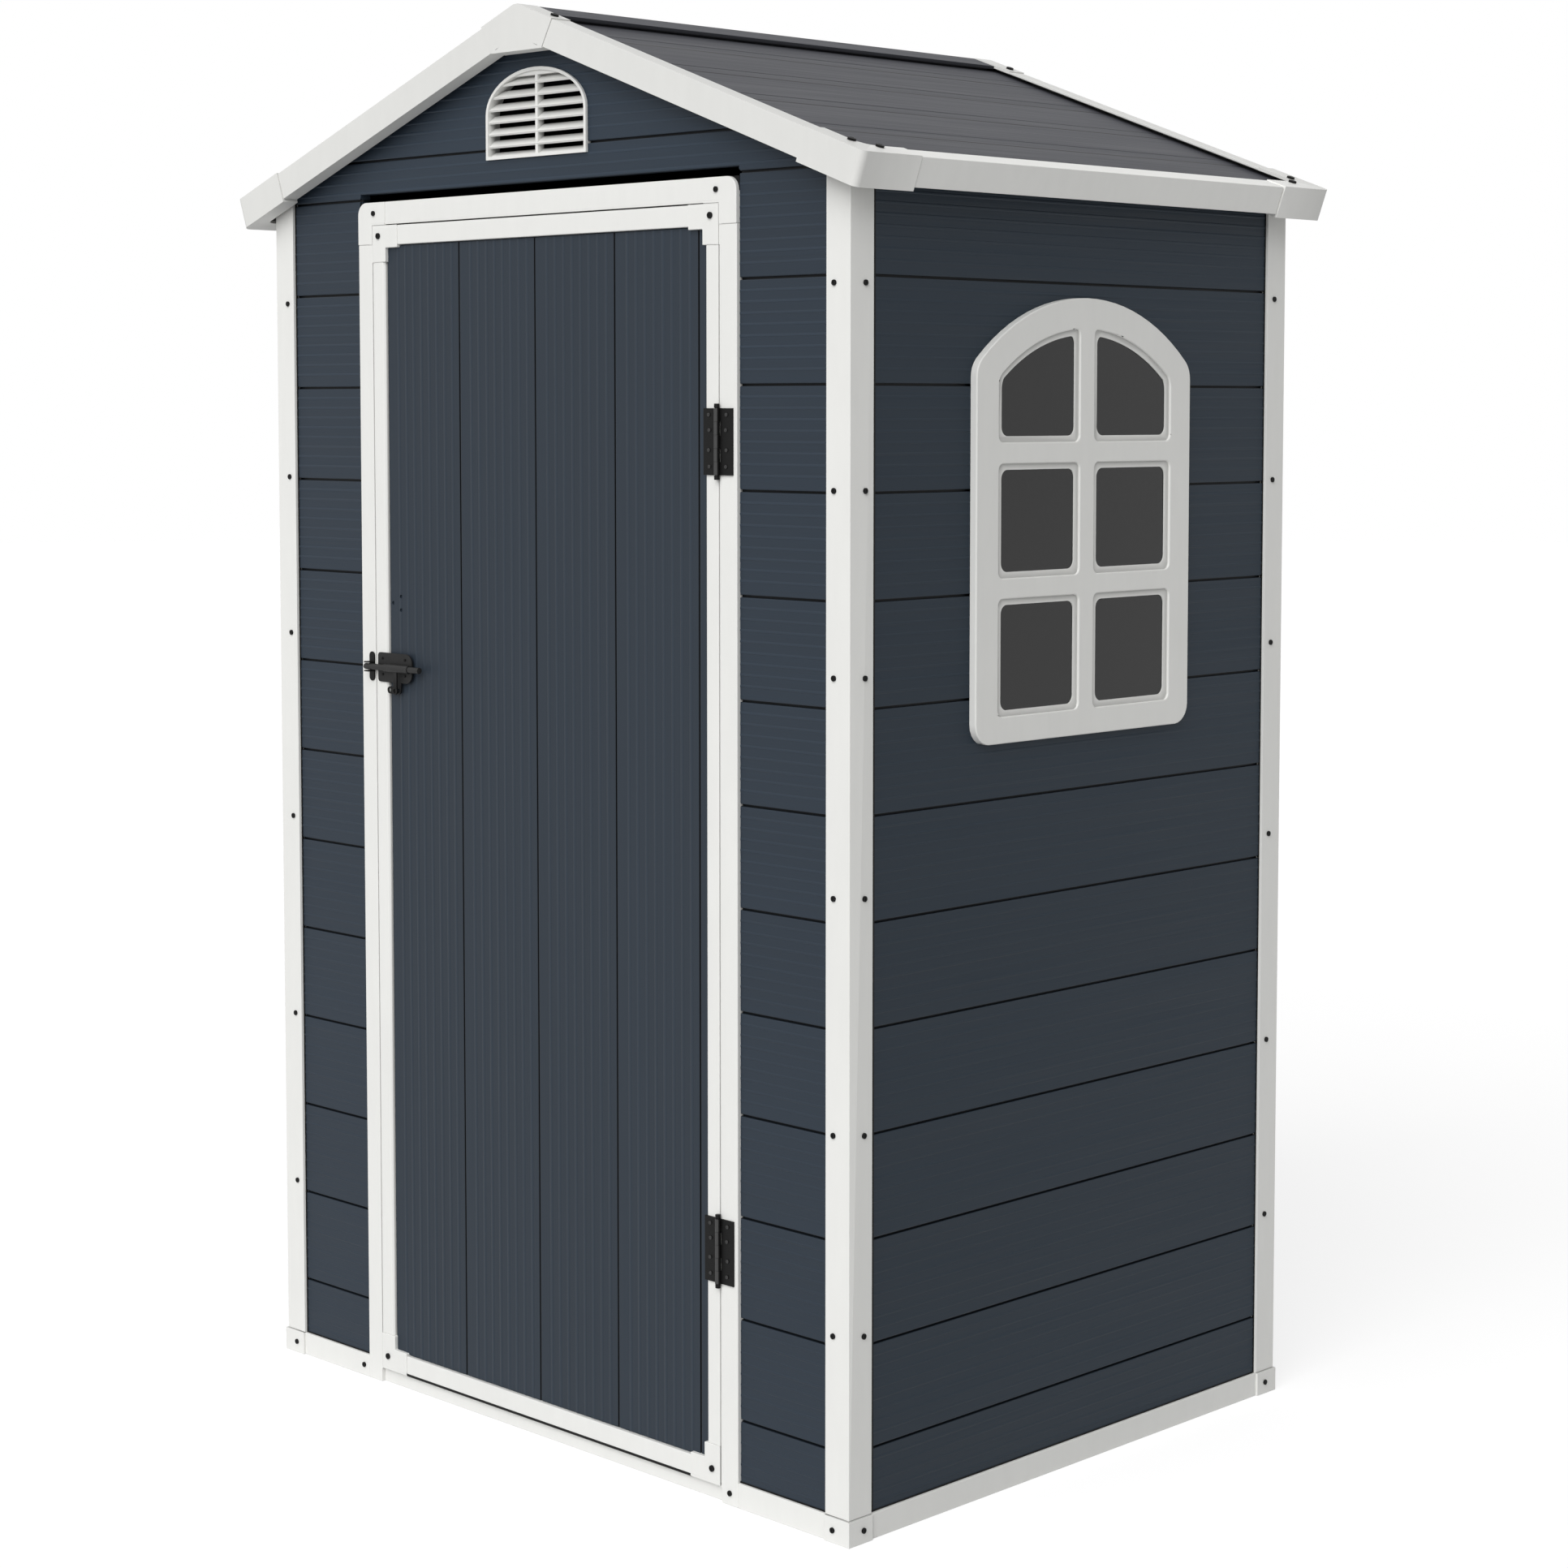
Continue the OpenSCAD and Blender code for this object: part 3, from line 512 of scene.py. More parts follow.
# painted shade: the side walls' boards are a darker copy of the wall boarding, and their ribs get a
# fainter painted highlight
SHADED_SIDE_GRAPHITE = boarding(
    "graphite_side_boards_shaded", "242E38", "Z", "Y", (WALL_PITCH, WALL_FIRST), WALL_RIBS, 1.06
)
DOOR_GRAPHITE = boarding(
    "graphite_door_boards", "29313A", "X", "Z", (DOOR_PITCH, DOOR_FIRST), DOOR_RIBS, 1.2, 0.03
)
ROOF_GREY = boarding(
    "grey_roof_boards", "48494E", "X", "Y", (ROOF_ALONG_X, 0.0), None, 1.0, 0.012, 0.06
)
BLACK = black_hardware("black_coated_hardware", "090909")
SMOKED = smoked_sheet("smoked_glazing", "1C1C1C")
FLOOR_GREY = floor_plastic("grey_floor_plastic", "45474A")


# ---------- boarded sheets ----------


def board_sheet(name, length, thick, pitch, count, ribs, rib_shape, groove):
    """A sheet of like boards: they run along X and lie above each other, with the face at y = 0.

    The crests of the ribs lie in the face, the flats just behind it, and a groove parts two boards.
    """
    crest, slope, flat = rib_shape
    number, rib_first, rib_step = ribs
    floor_half, lip_half, edge_half, depth, lip_depth = groove
    sheet = box_piece(name, (-length / 2, 0, 0), (length / 2, thick, pitch))
    floor_rows = [0, floor_half, pitch - floor_half, pitch]
    lip_rows = [lip_half, pitch - lip_half]
    flat_rows = [edge_half, pitch - edge_half]
    crest_rows = []
    for k in range(number):
        centre = rib_first + k * rib_step
        flat_rows += [centre - crest - slope, centre + crest + slope]
        crest_rows += [centre - crest, centre + crest]
    open_edit(sheet)
    for row in sorted(floor_rows[1:3] + lip_rows + flat_rows + crest_rows):
        bpy.ops.mesh.select_all(action="SELECT")
        bpy.ops.mesh.bisect(plane_co=(0, 0, row), plane_no=(0, 0, 1))
    for rows, back in ((floor_rows, depth), (lip_rows, lip_depth), (flat_rows, flat)):
        mark(
            sheet,
            "VERT",
            lambda v: v.co.y < TINY and any(abs(v.co.z - row) < TINY for row in rows),
        )
        if back:
            bpy.ops.transform.translate(value=(0, back, 0))
    mark(sheet, "VERT", lambda v: v.co.y > thick - TINY and min(v.co.z, pitch - v.co.z) < TINY)
    back_groove = 0.8 * MM
    bpy.ops.transform.translate(value=(0, -back_groove, 0))
    mark(sheet, "FACE", lambda f: abs(f.normal.z) > 0.999)
    bpy.ops.mesh.delete(type="FACE")
    close_edit()
    apply_modifier(
        sheet,
        "ARRAY",
        count=count,
        use_relative_offset=False,
        use_constant_offset=True,
        constant_offset_displace=(0, 0, pitch),
        use_merge_vertices=True,
        merge_threshold=TINY,
    )
    open_edit(sheet)
    for row in (0, count * pitch):
        mark(sheet, "EDGE", lambda e: e.is_boundary and abs(middle(e).z - row) < TINY)
        bpy.ops.mesh.edge_face_add()
    face_outwards()
    close_edit()
    return sheet


def trim_to(sheet, node, way):
    """Trims a sheet to a CAD node's outline, with the holes that it has, seen along a direction."""
    outline = cad_copy(node, "outline")
    low, high = reach(node, way)
    open_edit(outline)
    for sign in (1, -1):
        mark(outline, "VERT", lambda v: (way.dot(v.co) - (low + high) / 2) * sign > 0)
        bpy.ops.transform.translate(value=way * sign * PAST)
    close_edit()
    return cut(sheet, outline, "INTERSECT")


# Half widths of a groove's floor, lip and edge, the floor's depth and the lip's
WALL_GROOVE = (1.4 * MM, 1.7 * MM, 2.9 * MM, 6 * MM, 1.0 * MM)
DOOR_GROOVE = (0.7 * MM, 1.0 * MM, 2.6 * MM, 3.5 * MM, 0.8 * MM)
ROOF_GROOVE = (0.6 * MM, 0.9 * MM, 2.0 * MM, 2.5 * MM, 0.5 * MM)
# Half width of a rib's crest, width of its slope and depth of the flats between the ribs
WALL_RIB_SHAPE = (1.0 * MM, 0.9 * MM, 0.45 * MM)
DOOR_RIB_SHAPE = (1.0 * MM, 2.4 * MM, 0.6 * MM)
PLAIN = (0, 0, 0)
SPARE = 20 * MM  # how much longer a sheet is made before it is trimmed
EDGE_SLIT = 1.6 * MM  # width of the slit that shows along a sheet's edges


def shadow_gaps(sheet, gaps):
    """Cuts narrow slots into a sheet's face along its edges, where it slips behind the trim."""
    for low, high in gaps:
        cut(sheet, box_piece("gap", low, high))


def wall_sheet(node, outward, first_groove, finish):
    """A wall or gable of level boards in place of a flat CAD node."""
    low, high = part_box(node)
    inward = -outward
    along = inward.cross(UP)
    face = reach(node, outward)[1]
    thick = face - reach(node, outward)[0]
    length = reach(node, along)[1] - reach(node, along)[0] + SPARE
    below = first_groove
    while below > low.z:
        below -= WALL_PITCH
    count = math.ceil((high.z - below) / WALL_PITCH)
    sheet = board_sheet(
        node + "_boards", length, thick, WALL_PITCH, count, WALL_RIBS, WALL_RIB_SHAPE, WALL_GROOVE
    )
    origin = (low + high) / 2
    origin = origin - outward * outward.dot(origin) + outward * face
    origin.z = below
    place(sheet, frame_of(along, inward, UP, origin))
    trim_to(sheet, node, outward)
    gaps = []
    slit_depth = 4 * MM
    for end in reach(node, along):
        inner = end - math.copysign(EDGE_SLIT, end - along.dot((low + high) / 2))
        corners = [
            along * place_along + outward * place_out + UP * place_up
            for place_along, place_out, place_up in (
                (end, face - slit_depth, low.z - PAST),
                (inner, face + PAST, high.z + PAST),
            )
        ]
        gaps.append([[pick_of(*pair) for pair in zip(*corners)] for pick_of in (min, max)])
    shadow_gaps(sheet, gaps)
    return dress(sheet, "shell", finish, "wall_boards", node)


for node, outward, first_groove, finish in (
    ("front_wall_left", FRONT, WALL_FIRST, WALL_GRAPHITE),
    ("front_wall_right", FRONT, WALL_FIRST, WALL_GRAPHITE),
    ("rear_wall", REAR, WALL_FIRST, WALL_GRAPHITE),
    ("front_gable", FRONT, GABLE_FIRST, GABLE_GRAPHITE),
    ("rear_gable", REAR, GABLE_FIRST, GABLE_GRAPHITE),
    ("left_wall", LEFT, WALL_FIRST, SHADED_SIDE_GRAPHITE),
    ("right_wall", RIGHT, WALL_FIRST, SHADED_SIDE_GRAPHITE),
):
    wall_sheet(node, outward, first_groove, finish)


def door_sheet():
    """The door's upright boards, with three shallow dimples over the latch."""
    low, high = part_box("door_panel")
    boards = 5
    sheet = board_sheet(
        "door_boards",
        high.z - low.z + SPARE,
        high.y - low.y,
        DOOR_PITCH,
        boards,
        DOOR_RIBS,
        DOOR_RIB_SHAPE,
        DOOR_GROOVE,
    )
    origin = Vector((DOOR_FIRST - DOOR_PITCH, low.y, (low.z + high.z) / 2))
    place(sheet, frame_of(-UP, REAR, RIGHT, origin))
    trim_to(sheet, "door_panel", FRONT)
    y0, y1, slit = low.y - PAST, low.y + 3 * MM, EDGE_SLIT
    shadow_gaps(
        sheet,
        [
            ((low.x - slit, y0, low.z), (low.x + slit, y1, high.z)),
            ((high.x - slit, y0, low.z), (high.x + slit, y1, high.z)),
            ((low.x, y0, high.z - slit), (high.x, y1, high.z + slit)),
            ((low.x, y0, low.z - slit), (high.x, y1, low.z + slit)),
        ],
    )
    dimple_r, dimple_depth = 2.8 * MM, 2.5 * MM
    for x, z in ((-328.4, 1169.3), (-309.6, 1179.2), (-309.6, 1159.4)):
        centre = (x * MM, low.y, z * MM)
        cut(sheet, disc_piece("dimple", centre, dimple_r, dimple_depth * 2, FRONT, 24))
    return dress(sheet, "door", DOOR_GRAPHITE, "wall_boards", "door_panel")


door_sheet()


def roof_sheet(node, side):
    """One roof slope: boards level with the ridge, parted by shallow grooves."""
    down, out, ridge = slope_ways(side)
    top = reach(node, out)[1]
    thick = top - reach(node, out)[0]
    length, boards = 1.0, 6
    sheet = board_sheet(
        node + "_boards", length, thick, WALL_PITCH, boards, PLAIN, PLAIN, ROOF_GROOVE
    )
    start = ROOF_FIRST - WALL_PITCH
    origin = ridge + down * start + out * (top - out.dot(ridge))
    place(sheet, frame_of(Vector((0, -side, 0)), -out, down, origin))
    trim_to(sheet, node, out)
    return dress(sheet, "shell", ROOF_GREY, "roof_boards", node)


roof_sheet("roof_panel_right", 1)
roof_sheet("roof_panel_left", -1)


# ---------- white moulded parts ----------

# How far the edges are rounded, on the posts and the frames, and on the roof's trims
FRAME_ROUND = 1.2 * MM
TRIM_ROUND = 0.9 * MM


def white(piece, body, *stands_for):
    """A finished piece of white plastic."""
    return dress(piece, body, WHITE, "white_plastic", *stands_for)


def moulded(node, body, width):
    """A CAD part with soft moulded edges."""
    piece = cad_copy(node, node + "_moulded")
    round_edges(piece, width)
    even_shading(piece)
    return white(piece, body, node)


def roof_painted_shade(point):
    """Painted light and shade: the fascias at the front and back are painted a little darker, those
    at the sides a little lighter.
    """
    return 0.3 if abs(point.y) > 440 * MM else -0.35


def post(node):
    """A corner post, with a thin slit in its outer faces where it enters the foot."""
    piece = cad_copy(node, node + "_moulded")
    low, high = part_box(node)
    foot = low.z
    middle_x, middle_y = (low.x + high.x) / 2, (low.y + high.y) / 2
    x_in, x_out = (low.x, high.x) if middle_x > 0 else (high.x, low.x)
    y_in, y_out = (low.y, high.y) if middle_y > 0 else (high.y, low.y)
    right, rear = math.copysign(1, middle_x), math.copysign(1, middle_y)
    height, depth, past = 0.8 * MM, 1.5 * MM, 2 * MM
    for ends_x, ends_y in (
        ((x_out - right * depth, x_out + right * past), (y_in, y_out + rear * past)),
        ((x_in, x_out + right * past), (y_out - rear * depth, y_out + rear * past)),
    ):
        corners = sorted(ends_x), sorted(ends_y), (foot, foot + height)
        cut(piece, box_piece("slit", *zip(*corners)))
    round_edges(piece, FRAME_ROUND)
    even_shading(piece)
    return white(piece, "shell", node)


for node in ("post_front_left", "post_front_right", "post_rear_left", "post_rear_right"):
    post(node)
for node in ("left_sill", "right_sill", "rear_sill", "front_sills", "threshold"):
    moulded(node, "shell", FRAME_ROUND)
seam_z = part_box("post_front_left")[0].z
# painted shade: a dark line along the top of the feet, where the posts stand in them
paint(
    moulded("corner_feet", "shell", 0.8 * MM),
    "painted_shade",
    lambda p: 1.2 if abs(p.z - seam_z) < 0.3 * MM else 0,
)
for node in ("jamb_left", "jamb_right", "frame_head", "frame_corners"):
    moulded(node, "shell", FRAME_ROUND)
for node in ("door_rail_top", "door_rail_bottom", "door_corners"):
    moulded(node, "door", FRAME_ROUND)
# painted shade on the caps' front and back faces, painted light on their side faces
paint(moulded("roof_corner_caps", "shell", TRIM_ROUND), "painted_shade", roof_painted_shade)


def ridge_end():
    """The end pieces of the ridge, with plain flat faces between their rounded edges."""
    piece = cad_copy("ridge_end_caps", "ridge_end_caps_moulded")
    round_edges(piece, 0.8 * MM, 2)
    pick(piece)
    bpy.ops.object.shade_flat()
    # painted shade on the ridge end pieces at the front and back
    paint(piece, "painted_shade", roof_painted_shade)
    return white(piece, "shell", "ridge_end_caps")


def ridge_cover():
    """The ridge cap, with a drip edge under each side that nearly meets the roof."""
    piece = cad_copy("ridge_cap", "ridge_cap_moulded")
    reach_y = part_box("ridge_cap")[1].y
    inner, outer = 41.5 * MM, 44.7 * MM
    foot, top = -4.8 * MM, -1 * MM
    for side in (-1, 1):
        edge = on_slope(side, "drip_edge", (inner, -reach_y, foot), (outer, reach_y, top))
        cut(piece, edge, "UNION")
    round_edges(piece, TRIM_ROUND)
    even_shading(piece)
    return dress(piece, "shell", ROOF_GREY, "roof_boards", "ridge_cap")


ridge_end()
ridge_cover()


def stile(node, side):
    """A stile of the leaf: its inner front edge slopes back to the boards."""
    piece = cad_copy(node, node + "_moulded")
    low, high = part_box(node)
    inner = low.x if side > 0 else high.x
    open_edit(piece)
    mark(
        piece,
        "EDGE",
        lambda e: abs(middle(e).x - inner) < TINY and abs(middle(e).y - low.y) < TINY,
    )
    bpy.ops.mesh.bevel(offset=3 * MM, segments=1, affect="EDGES")
    close_edit()
    round_edges(piece, TRIM_ROUND)
    even_shading(piece)
    return white(piece, "door", node)


stile("door_stile_left", -1)
stile("door_stile_right", 1)


def trim(node, slits):
    """A roof trim with a narrow slit where each corner cap ends on it."""
    piece = cad_copy(node, node + "_moulded")
    for side in (-1, 1):
        for low, high in slits:
            cut(piece, on_slope(side, "slit", low, high))
    round_edges(piece, TRIM_ROUND)
    even_shading(piece)
    # painted shade on the front and back trims, painted light on the side ones
    paint(piece, "painted_shade", roof_painted_shade)
    return white(piece, "shell", node)


def roof_trims():
    """The rake and eaves trims, with slits at the ends of the corner caps' arms."""
    arm, proud = 107 * MM, 1.5 * MM
    edge_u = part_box("eaves_trims")[1].x / math.cos(SLOPE)
    edge_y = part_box("rear_rake_trims")[1].y
    end_u, end_y = edge_u + proud - arm, edge_y + proud - arm
    low, high, past = -60 * MM, 2 * MM, 1 * MM
    rake_slit, rake_depth = 0.9 * MM, 1 * MM
    eaves_slit, eaves_depth = 2 * MM, 2.6 * MM
    rake = [
        ((end_u - rake_slit, y0, low), (end_u + past, y1, high))
        for y0, y1 in (
            (edge_y - rake_depth, edge_y + past),
            (-edge_y - past, -edge_y + rake_depth),
        )
    ]
    eaves = [
        ((edge_u - eaves_depth, y0, low), (edge_u + past, y1, high))
        for y0, y1 in ((end_y - eaves_slit, end_y + past), (-end_y - past, -end_y + eaves_slit))
    ]
    trim("front_rake_trims", rake)
    trim("rear_rake_trims", rake)
    trim("eaves_trims", eaves)


roof_trims()


def lips(name, body, strips, finish=WHITE, slot="white_plastic"):
    """Thin strips that look forward, each with its ends, foot, top, the face it is in and depth."""
    pieces = []
    sunk = 0.15 * MM
    for x0, x1, z0, z1, front, back in strips:
        low, high = (x0 * MM, front + sunk, z0 * MM), (x1 * MM, front + back * MM, z1 * MM)
        pieces.append(round_edges(box_piece(name, low, high), 0.3 * MM, 2))
    return dress(even_shading(join(name, pieces)), body, finish, slot)


def seam_lips():
    """Lips that close most of the gap between the leaf and its frame, and a black strip under it
    that stands in for the shade in the gap, as painted shade.

    Lengths are in millimetres here, apart from the faces that the lips lie in.
    """
    leaf_low, leaf_high = [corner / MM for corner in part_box("door_corners")]
    jamb_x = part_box("jamb_right")[0].x / MM
    head_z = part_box("frame_head")[0].z / MM
    arm_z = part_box("jamb_right")[1].z / MM
    stile_low, stile_top = [corner.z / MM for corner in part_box("door_stile_left")]
    rail_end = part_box("door_rail_top")[1].x / MM
    head_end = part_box("frame_head")[1].x / MM
    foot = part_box("threshold")[1].z / MM
    flat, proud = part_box("door_stile_left")[0].y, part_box("door_corners")[0].y
    behind = proud + 1.5 * MM
    lap = 3  # how far a lip lies over the part that carries it
    lip, corner_lip, low_lip = 1.5, 2.1, 2.6  # how far it stands out over the gap
    apart = 2.7  # how far a corner's upright lips end short of its level ones
    deep, backing_deep, thin = 3.5, 2.5, 1.1
    arm_apart, clear_side, clear_top, clear_head = 1.8, 0.4, 0.7, 0.4
    # size of the black strip of painted shade under the leaf
    gap_shade_drop, gap_shade_lap, gap_shade_sunk = 3.8, 2, 0.6 * MM
    leaf, surround = [], []
    for side in (-1, 1):
        edge, jamb = side * leaf_high.x, side * jamb_x
        upright = sorted((edge - side * lap, edge + side * lip))
        wide = sorted((edge - side * lap * 3, edge + side * corner_lip))
        inner = sorted((side * rail_end, edge + side * corner_lip))
        leaf.append(upright + [stile_low, stile_top, flat, deep])
        leaf.append(wide + [leaf_low.z + apart, stile_low, proud, thin])
        leaf.append(wide + [stile_top, leaf_high.z - apart, proud, thin])
        leaf.append(inner + [leaf_high.z - lap, leaf_high.z + corner_lip, proud, thin])
        leaf.append(inner + [leaf_low.z - low_lip, leaf_low.z + lap, proud, thin])
        beside = sorted((jamb + side * lap, jamb - side * lip))
        outer = sorted((jamb + side * lap, jamb - side * corner_lip))
        backing = sorted((jamb + side * lap, edge + side * clear_side))
        under_head = sorted((side * head_end, jamb + side * lap))
        surround.append(beside + [foot, arm_z, flat, deep])
        surround.append(outer + [arm_z, head_z - arm_apart, proud, thin])
        surround.append(backing + [stile_top, leaf_high.z + clear_top, behind, backing_deep])
        surround.append(under_head + [head_z - corner_lip, head_z + lap, proud, thin])
        low_edge = leaf_high.z + clear_head
        surround.append(under_head + [low_edge, head_z + lap, behind, backing_deep])
    leaf.append([-rail_end, rail_end, leaf_high.z - lap, leaf_high.z + lip, flat, deep])
    surround.append([-head_end, head_end, head_z - lip, head_z + lap, flat, deep])
    lips("leaf_seam_lip", "door", leaf)
    lips("frame_seam_lip", "shell", surround)
    # painted shade: a black strip under the bottom rail where the gap is in shade
    gap_shade = [-rail_end - 1, rail_end + 1, leaf_low.z - gap_shade_drop, leaf_low.z + gap_shade_lap]
    lips("door_gap_shade_strip", "door", [gap_shade + [flat + gap_shade_sunk, lap]], BLACK, "black_metal")


seam_lips()


def frame_corner_shade():
    """Painted shade: black blocks behind the round outer corners of the door frame, where they meet
    the wall, stand in for the shade in the gap there.
    """
    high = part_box("frame_corners")[1]
    size, proud = 19 * MM, 0.2 * MM
    front, back = -450.5 * MM, -447 * MM
    shade_strips = []
    for side in (-1, 1):
        x0, x1 = sorted((side * (high.x - size), side * (high.x + proud)))
        shade_strip = box_piece("shade_strip", (x0, front, high.z - size), (x1, back, high.z))
        shade_strips.append(round_edges(shade_strip, 0.4 * MM, 2))
    dress(even_shading(join("frame_corner_shade_blocks", shade_strips)), "shell", BLACK, "black_metal")


frame_corner_shade()


def wall_shade_strips():
    """Painted shade: black strips along the foot of the walls and beside the posts, where the
    boards slip in, stand in for the shade in those gaps.
    """
    foot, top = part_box("right_wall")
    face_x, face_y = top.x, -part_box("front_wall_right")[0].y
    post_x, post_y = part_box("post_front_right")[0].x, -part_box("post_front_right")[1].y
    front_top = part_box("front_wall_right")[1].z
    frame_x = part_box("jamb_right")[1].x
    sunk, proud = 2 * MM, 0.2 * MM
    low_strip = (foot.z, foot.z + 2.2 * MM)
    near, far = -post_y + 7.4 * MM, post_y - 2.6 * MM
    strips = []
    for side in (-1, 1):
        across = (side * (face_x - sunk), side * (face_x + proud))
        strips.append((across, (-post_y, near), (foot.z, top.z)))
        strips.append((across, (near, far), low_strip))
        strips.append((across, (far, post_y), (foot.z, top.z)))
        beside = side * (post_x - 3 * MM)
        for end, start in ((-1, frame_x), (1, 0)):
            depth = (end * (face_y - sunk), end * (face_y + proud))
            strips.append(((beside, side * post_x), depth, (foot.z, front_top)))
            strips.append(((side * start, beside), depth, low_strip))
    shade_strips = []
    for extents in strips:
        low, high = zip(*(sorted(extent) for extent in extents))
        shade_strips.append(round_edges(box_piece("shade_strip", low, high), 0.2 * MM, 2))
    dress(even_shading(join("wall_shade_strips", shade_strips)), "shell", BLACK, "black_metal")


wall_shade_strips()


# ---------- window ----------


def rounded_cutter(name, y0, y1, z0, z1, x0, x1, radius, arch=None):
    """A block to cut with, its edges along X rounded, and kept under an arch where one is given."""
    cutter = box_piece(name, (x0, y0, z0), (x1, y1, z1))
    if arch:
        rise, spring = arch
        middle_x = (x0 + x1) / 2
        round_bar = disc_piece("arch", (middle_x, 0, spring), rise, (x1 - x0) * 2, RIGHT, 160)
        cut(cutter, round_bar, "INTERSECT")
    open_edit(cutter)
    mark(
        cutter,
        "EDGE",
        lambda e: abs((e.verts[0].co - e.verts[1].co).x) > TINY and bend_of(e) > 15,
    )
    bpy.ops.mesh.bevel(offset=radius, segments=6, affect="EDGES")
    close_edit()
    return cutter


def window_plate():
    """The window's frame and bars in one moulding, with six stepped panes."""
    low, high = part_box("window_frame")
    face = high.x
    plate = cad_copy("window_frame", "window_frame_and_bars")
    bars = cad_copy("window_glazing", "bars")
    pane_low, pane_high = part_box("window_glazing")
    centre = (pane_low + pane_high) / 2
    open_edit(bars)
    mark(bars, "VERT", lambda v: v.co.x > centre.x)
    bpy.ops.transform.translate(value=(face - pane_high.x, 0, 0))
    bpy.ops.mesh.select_all(action="SELECT")
    bpy.ops.transform.resize(value=(1, 1.03, 1.03), center_override=centre)
    close_edit()
    cut(plate, bars, "UNION")
    spring, arch_r = 1281 * MM, 278.5 * MM
    columns = ((-180.5 * MM, -15.5 * MM), (15.5 * MM, 180.5 * MM))
    rows = ((1047.6 * MM, 1203 * MM), (1230.2 * MM, 1380.7 * MM), (1408.7 * MM, 1575 * MM))
    top_foot = rows[-1][0]
    ledge, past = 8 * MM, 9 * MM
    pocket_depth, pocket_r, opening_r = 3.5 * MM, 9 * MM, 12 * MM
    moulded_round = 1.8 * MM
    # how deep behind the face the painted shade in the pockets' corners starts and ends
    shade_from, shade_to = 2.6 * MM, 4.6 * MM
    pockets, openings = [], []
    for y0, y1 in columns:
        for z0, z1 in rows:
            top_row = z0 == top_foot
            sides = (face - pocket_depth, face + past)
            arch = (arch_r, spring) if top_row else None
            pockets.append(rounded_cutter("pocket", y0, y1, z0, z1, *sides, pocket_r, arch))
            ends = (y0 + ledge, y1 - ledge, z0 + ledge, z1 if top_row else z1 - ledge)
            sides = (low.x - past, face + past)
            arch = (arch_r - ledge, spring) if top_row else None
            openings.append(rounded_cutter("opening", *ends, *sides, opening_r, arch))
    cut(plate, join("pockets", pockets))
    cut(plate, join("openings", openings))
    open_edit(plate)
    mark(plate, "EDGE", lambda e: min(v.co.x for v in e.verts) > face - TINY and bend_of(e) > 40)
    bpy.ops.mesh.bevel(offset=moulded_round, segments=4, affect="EDGES")
    close_edit()
    even_shading(plate)

    def at_foot(point):
        """Whether a point is at the foot of a pocket's walls, where painted shade darkens the
        corner.
        """
        if not shade_from < face - point.x < shade_to:
            return 0
        inset = ledge / 2
        for y0, y1 in columns:
            for z0, z1 in rows:
                above = z1 - inset
                if z0 == top_foot:
                    above = spring + math.sqrt((arch_r - inset) ** 2 - point.y**2)
                if y0 + inset < point.y < y1 - inset and z0 + inset < point.z < above:
                    return 0
        return 1

    # painted shade in the pockets' inner corners
    paint(plate, "painted_shade", at_foot)
    return white(plate, "shell", "window_frame")


window_plate()


def window_panes():
    """The smoked sheet behind the bars, a little larger than its CAD part, so that it is held."""
    sheet = cad_copy("window_glazing", "window_panes")
    low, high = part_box("window_glazing")
    centre = (low + high) / 2
    open_edit(sheet)
    bpy.ops.mesh.select_all(action="SELECT")
    bpy.ops.transform.resize(value=(1, 1.02, 1.02), center_override=centre)
    close_edit()
    round_edges(sheet, 0.4 * MM, 2)
    even_shading(sheet)
    return dress(sheet, "shell", SMOKED, "smoked_panes", "window_glazing")


window_panes()


# ---------- gable vents ----------


def vent(node, outward):
    """A louvred vent: inside its thin rim a sunk ledge runs round the slats."""
    rim, ledge_width, ledge_depth, past = 4.4 * MM, 4.5 * MM, 5.5 * MM, 2 * MM
    most_shade, shade_from, shade_over = 1.7, 5.6 * MM, 8 * MM
    piece = cad_copy(node, node + "_louvred")
    low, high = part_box(node)
    face = reach(node, outward)[1]
    centre = (low + high) / 2
    ledge = copy_of(piece, "ledge")
    open_edit(ledge)

    def on_rim(v):
        away = v.co - centre
        sides = [f.normal for f in v.link_faces if abs(f.normal.dot(outward)) < 0.1]
        return abs(v.co.dot(outward) - face) < TINY and any(n.dot(away) > 0 for n in sides)

    mark(ledge, "VERT", lambda v: not on_rim(v))
    bpy.ops.mesh.delete(type="VERT")
    bpy.ops.mesh.select_all(action="SELECT")
    bpy.ops.mesh.edge_face_add()
    bpy.ops.mesh.inset(thickness=rim)
    bpy.ops.mesh.select_all(action="INVERT")
    bpy.ops.mesh.delete(type="FACE")
    bpy.ops.mesh.select_all(action="SELECT")
    bpy.ops.mesh.inset(thickness=ledge_width)
    bpy.ops.mesh.delete(type="FACE")
    bpy.ops.mesh.select_all(action="SELECT")
    bpy.ops.transform.translate(value=outward * past)
    inwards = tuple(outward * -(past + ledge_depth))
    bpy.ops.mesh.extrude_region_move(TRANSFORM_OT_translate={"value": inwards})
    face_outwards()
    close_edit()
    cut(piece, ledge)
    round_edges(piece, 0.6 * MM, 2)
    even_shading(piece)

    def behind_ledge(point):
        """Painted shade on the slats: darker the deeper they lie behind the ledge."""
        deeper = face - point.dot(outward) - shade_from
        return most_shade * min(max(deeper, 0) / shade_over, 1)

    # painted shade that deepens towards the back of the slats
    paint(piece, "painted_shade", behind_ledge)
    return white(piece, "shell", node)


vent("front_vent", FRONT)
vent("rear_vent", REAR)


# ---------- hardware ----------


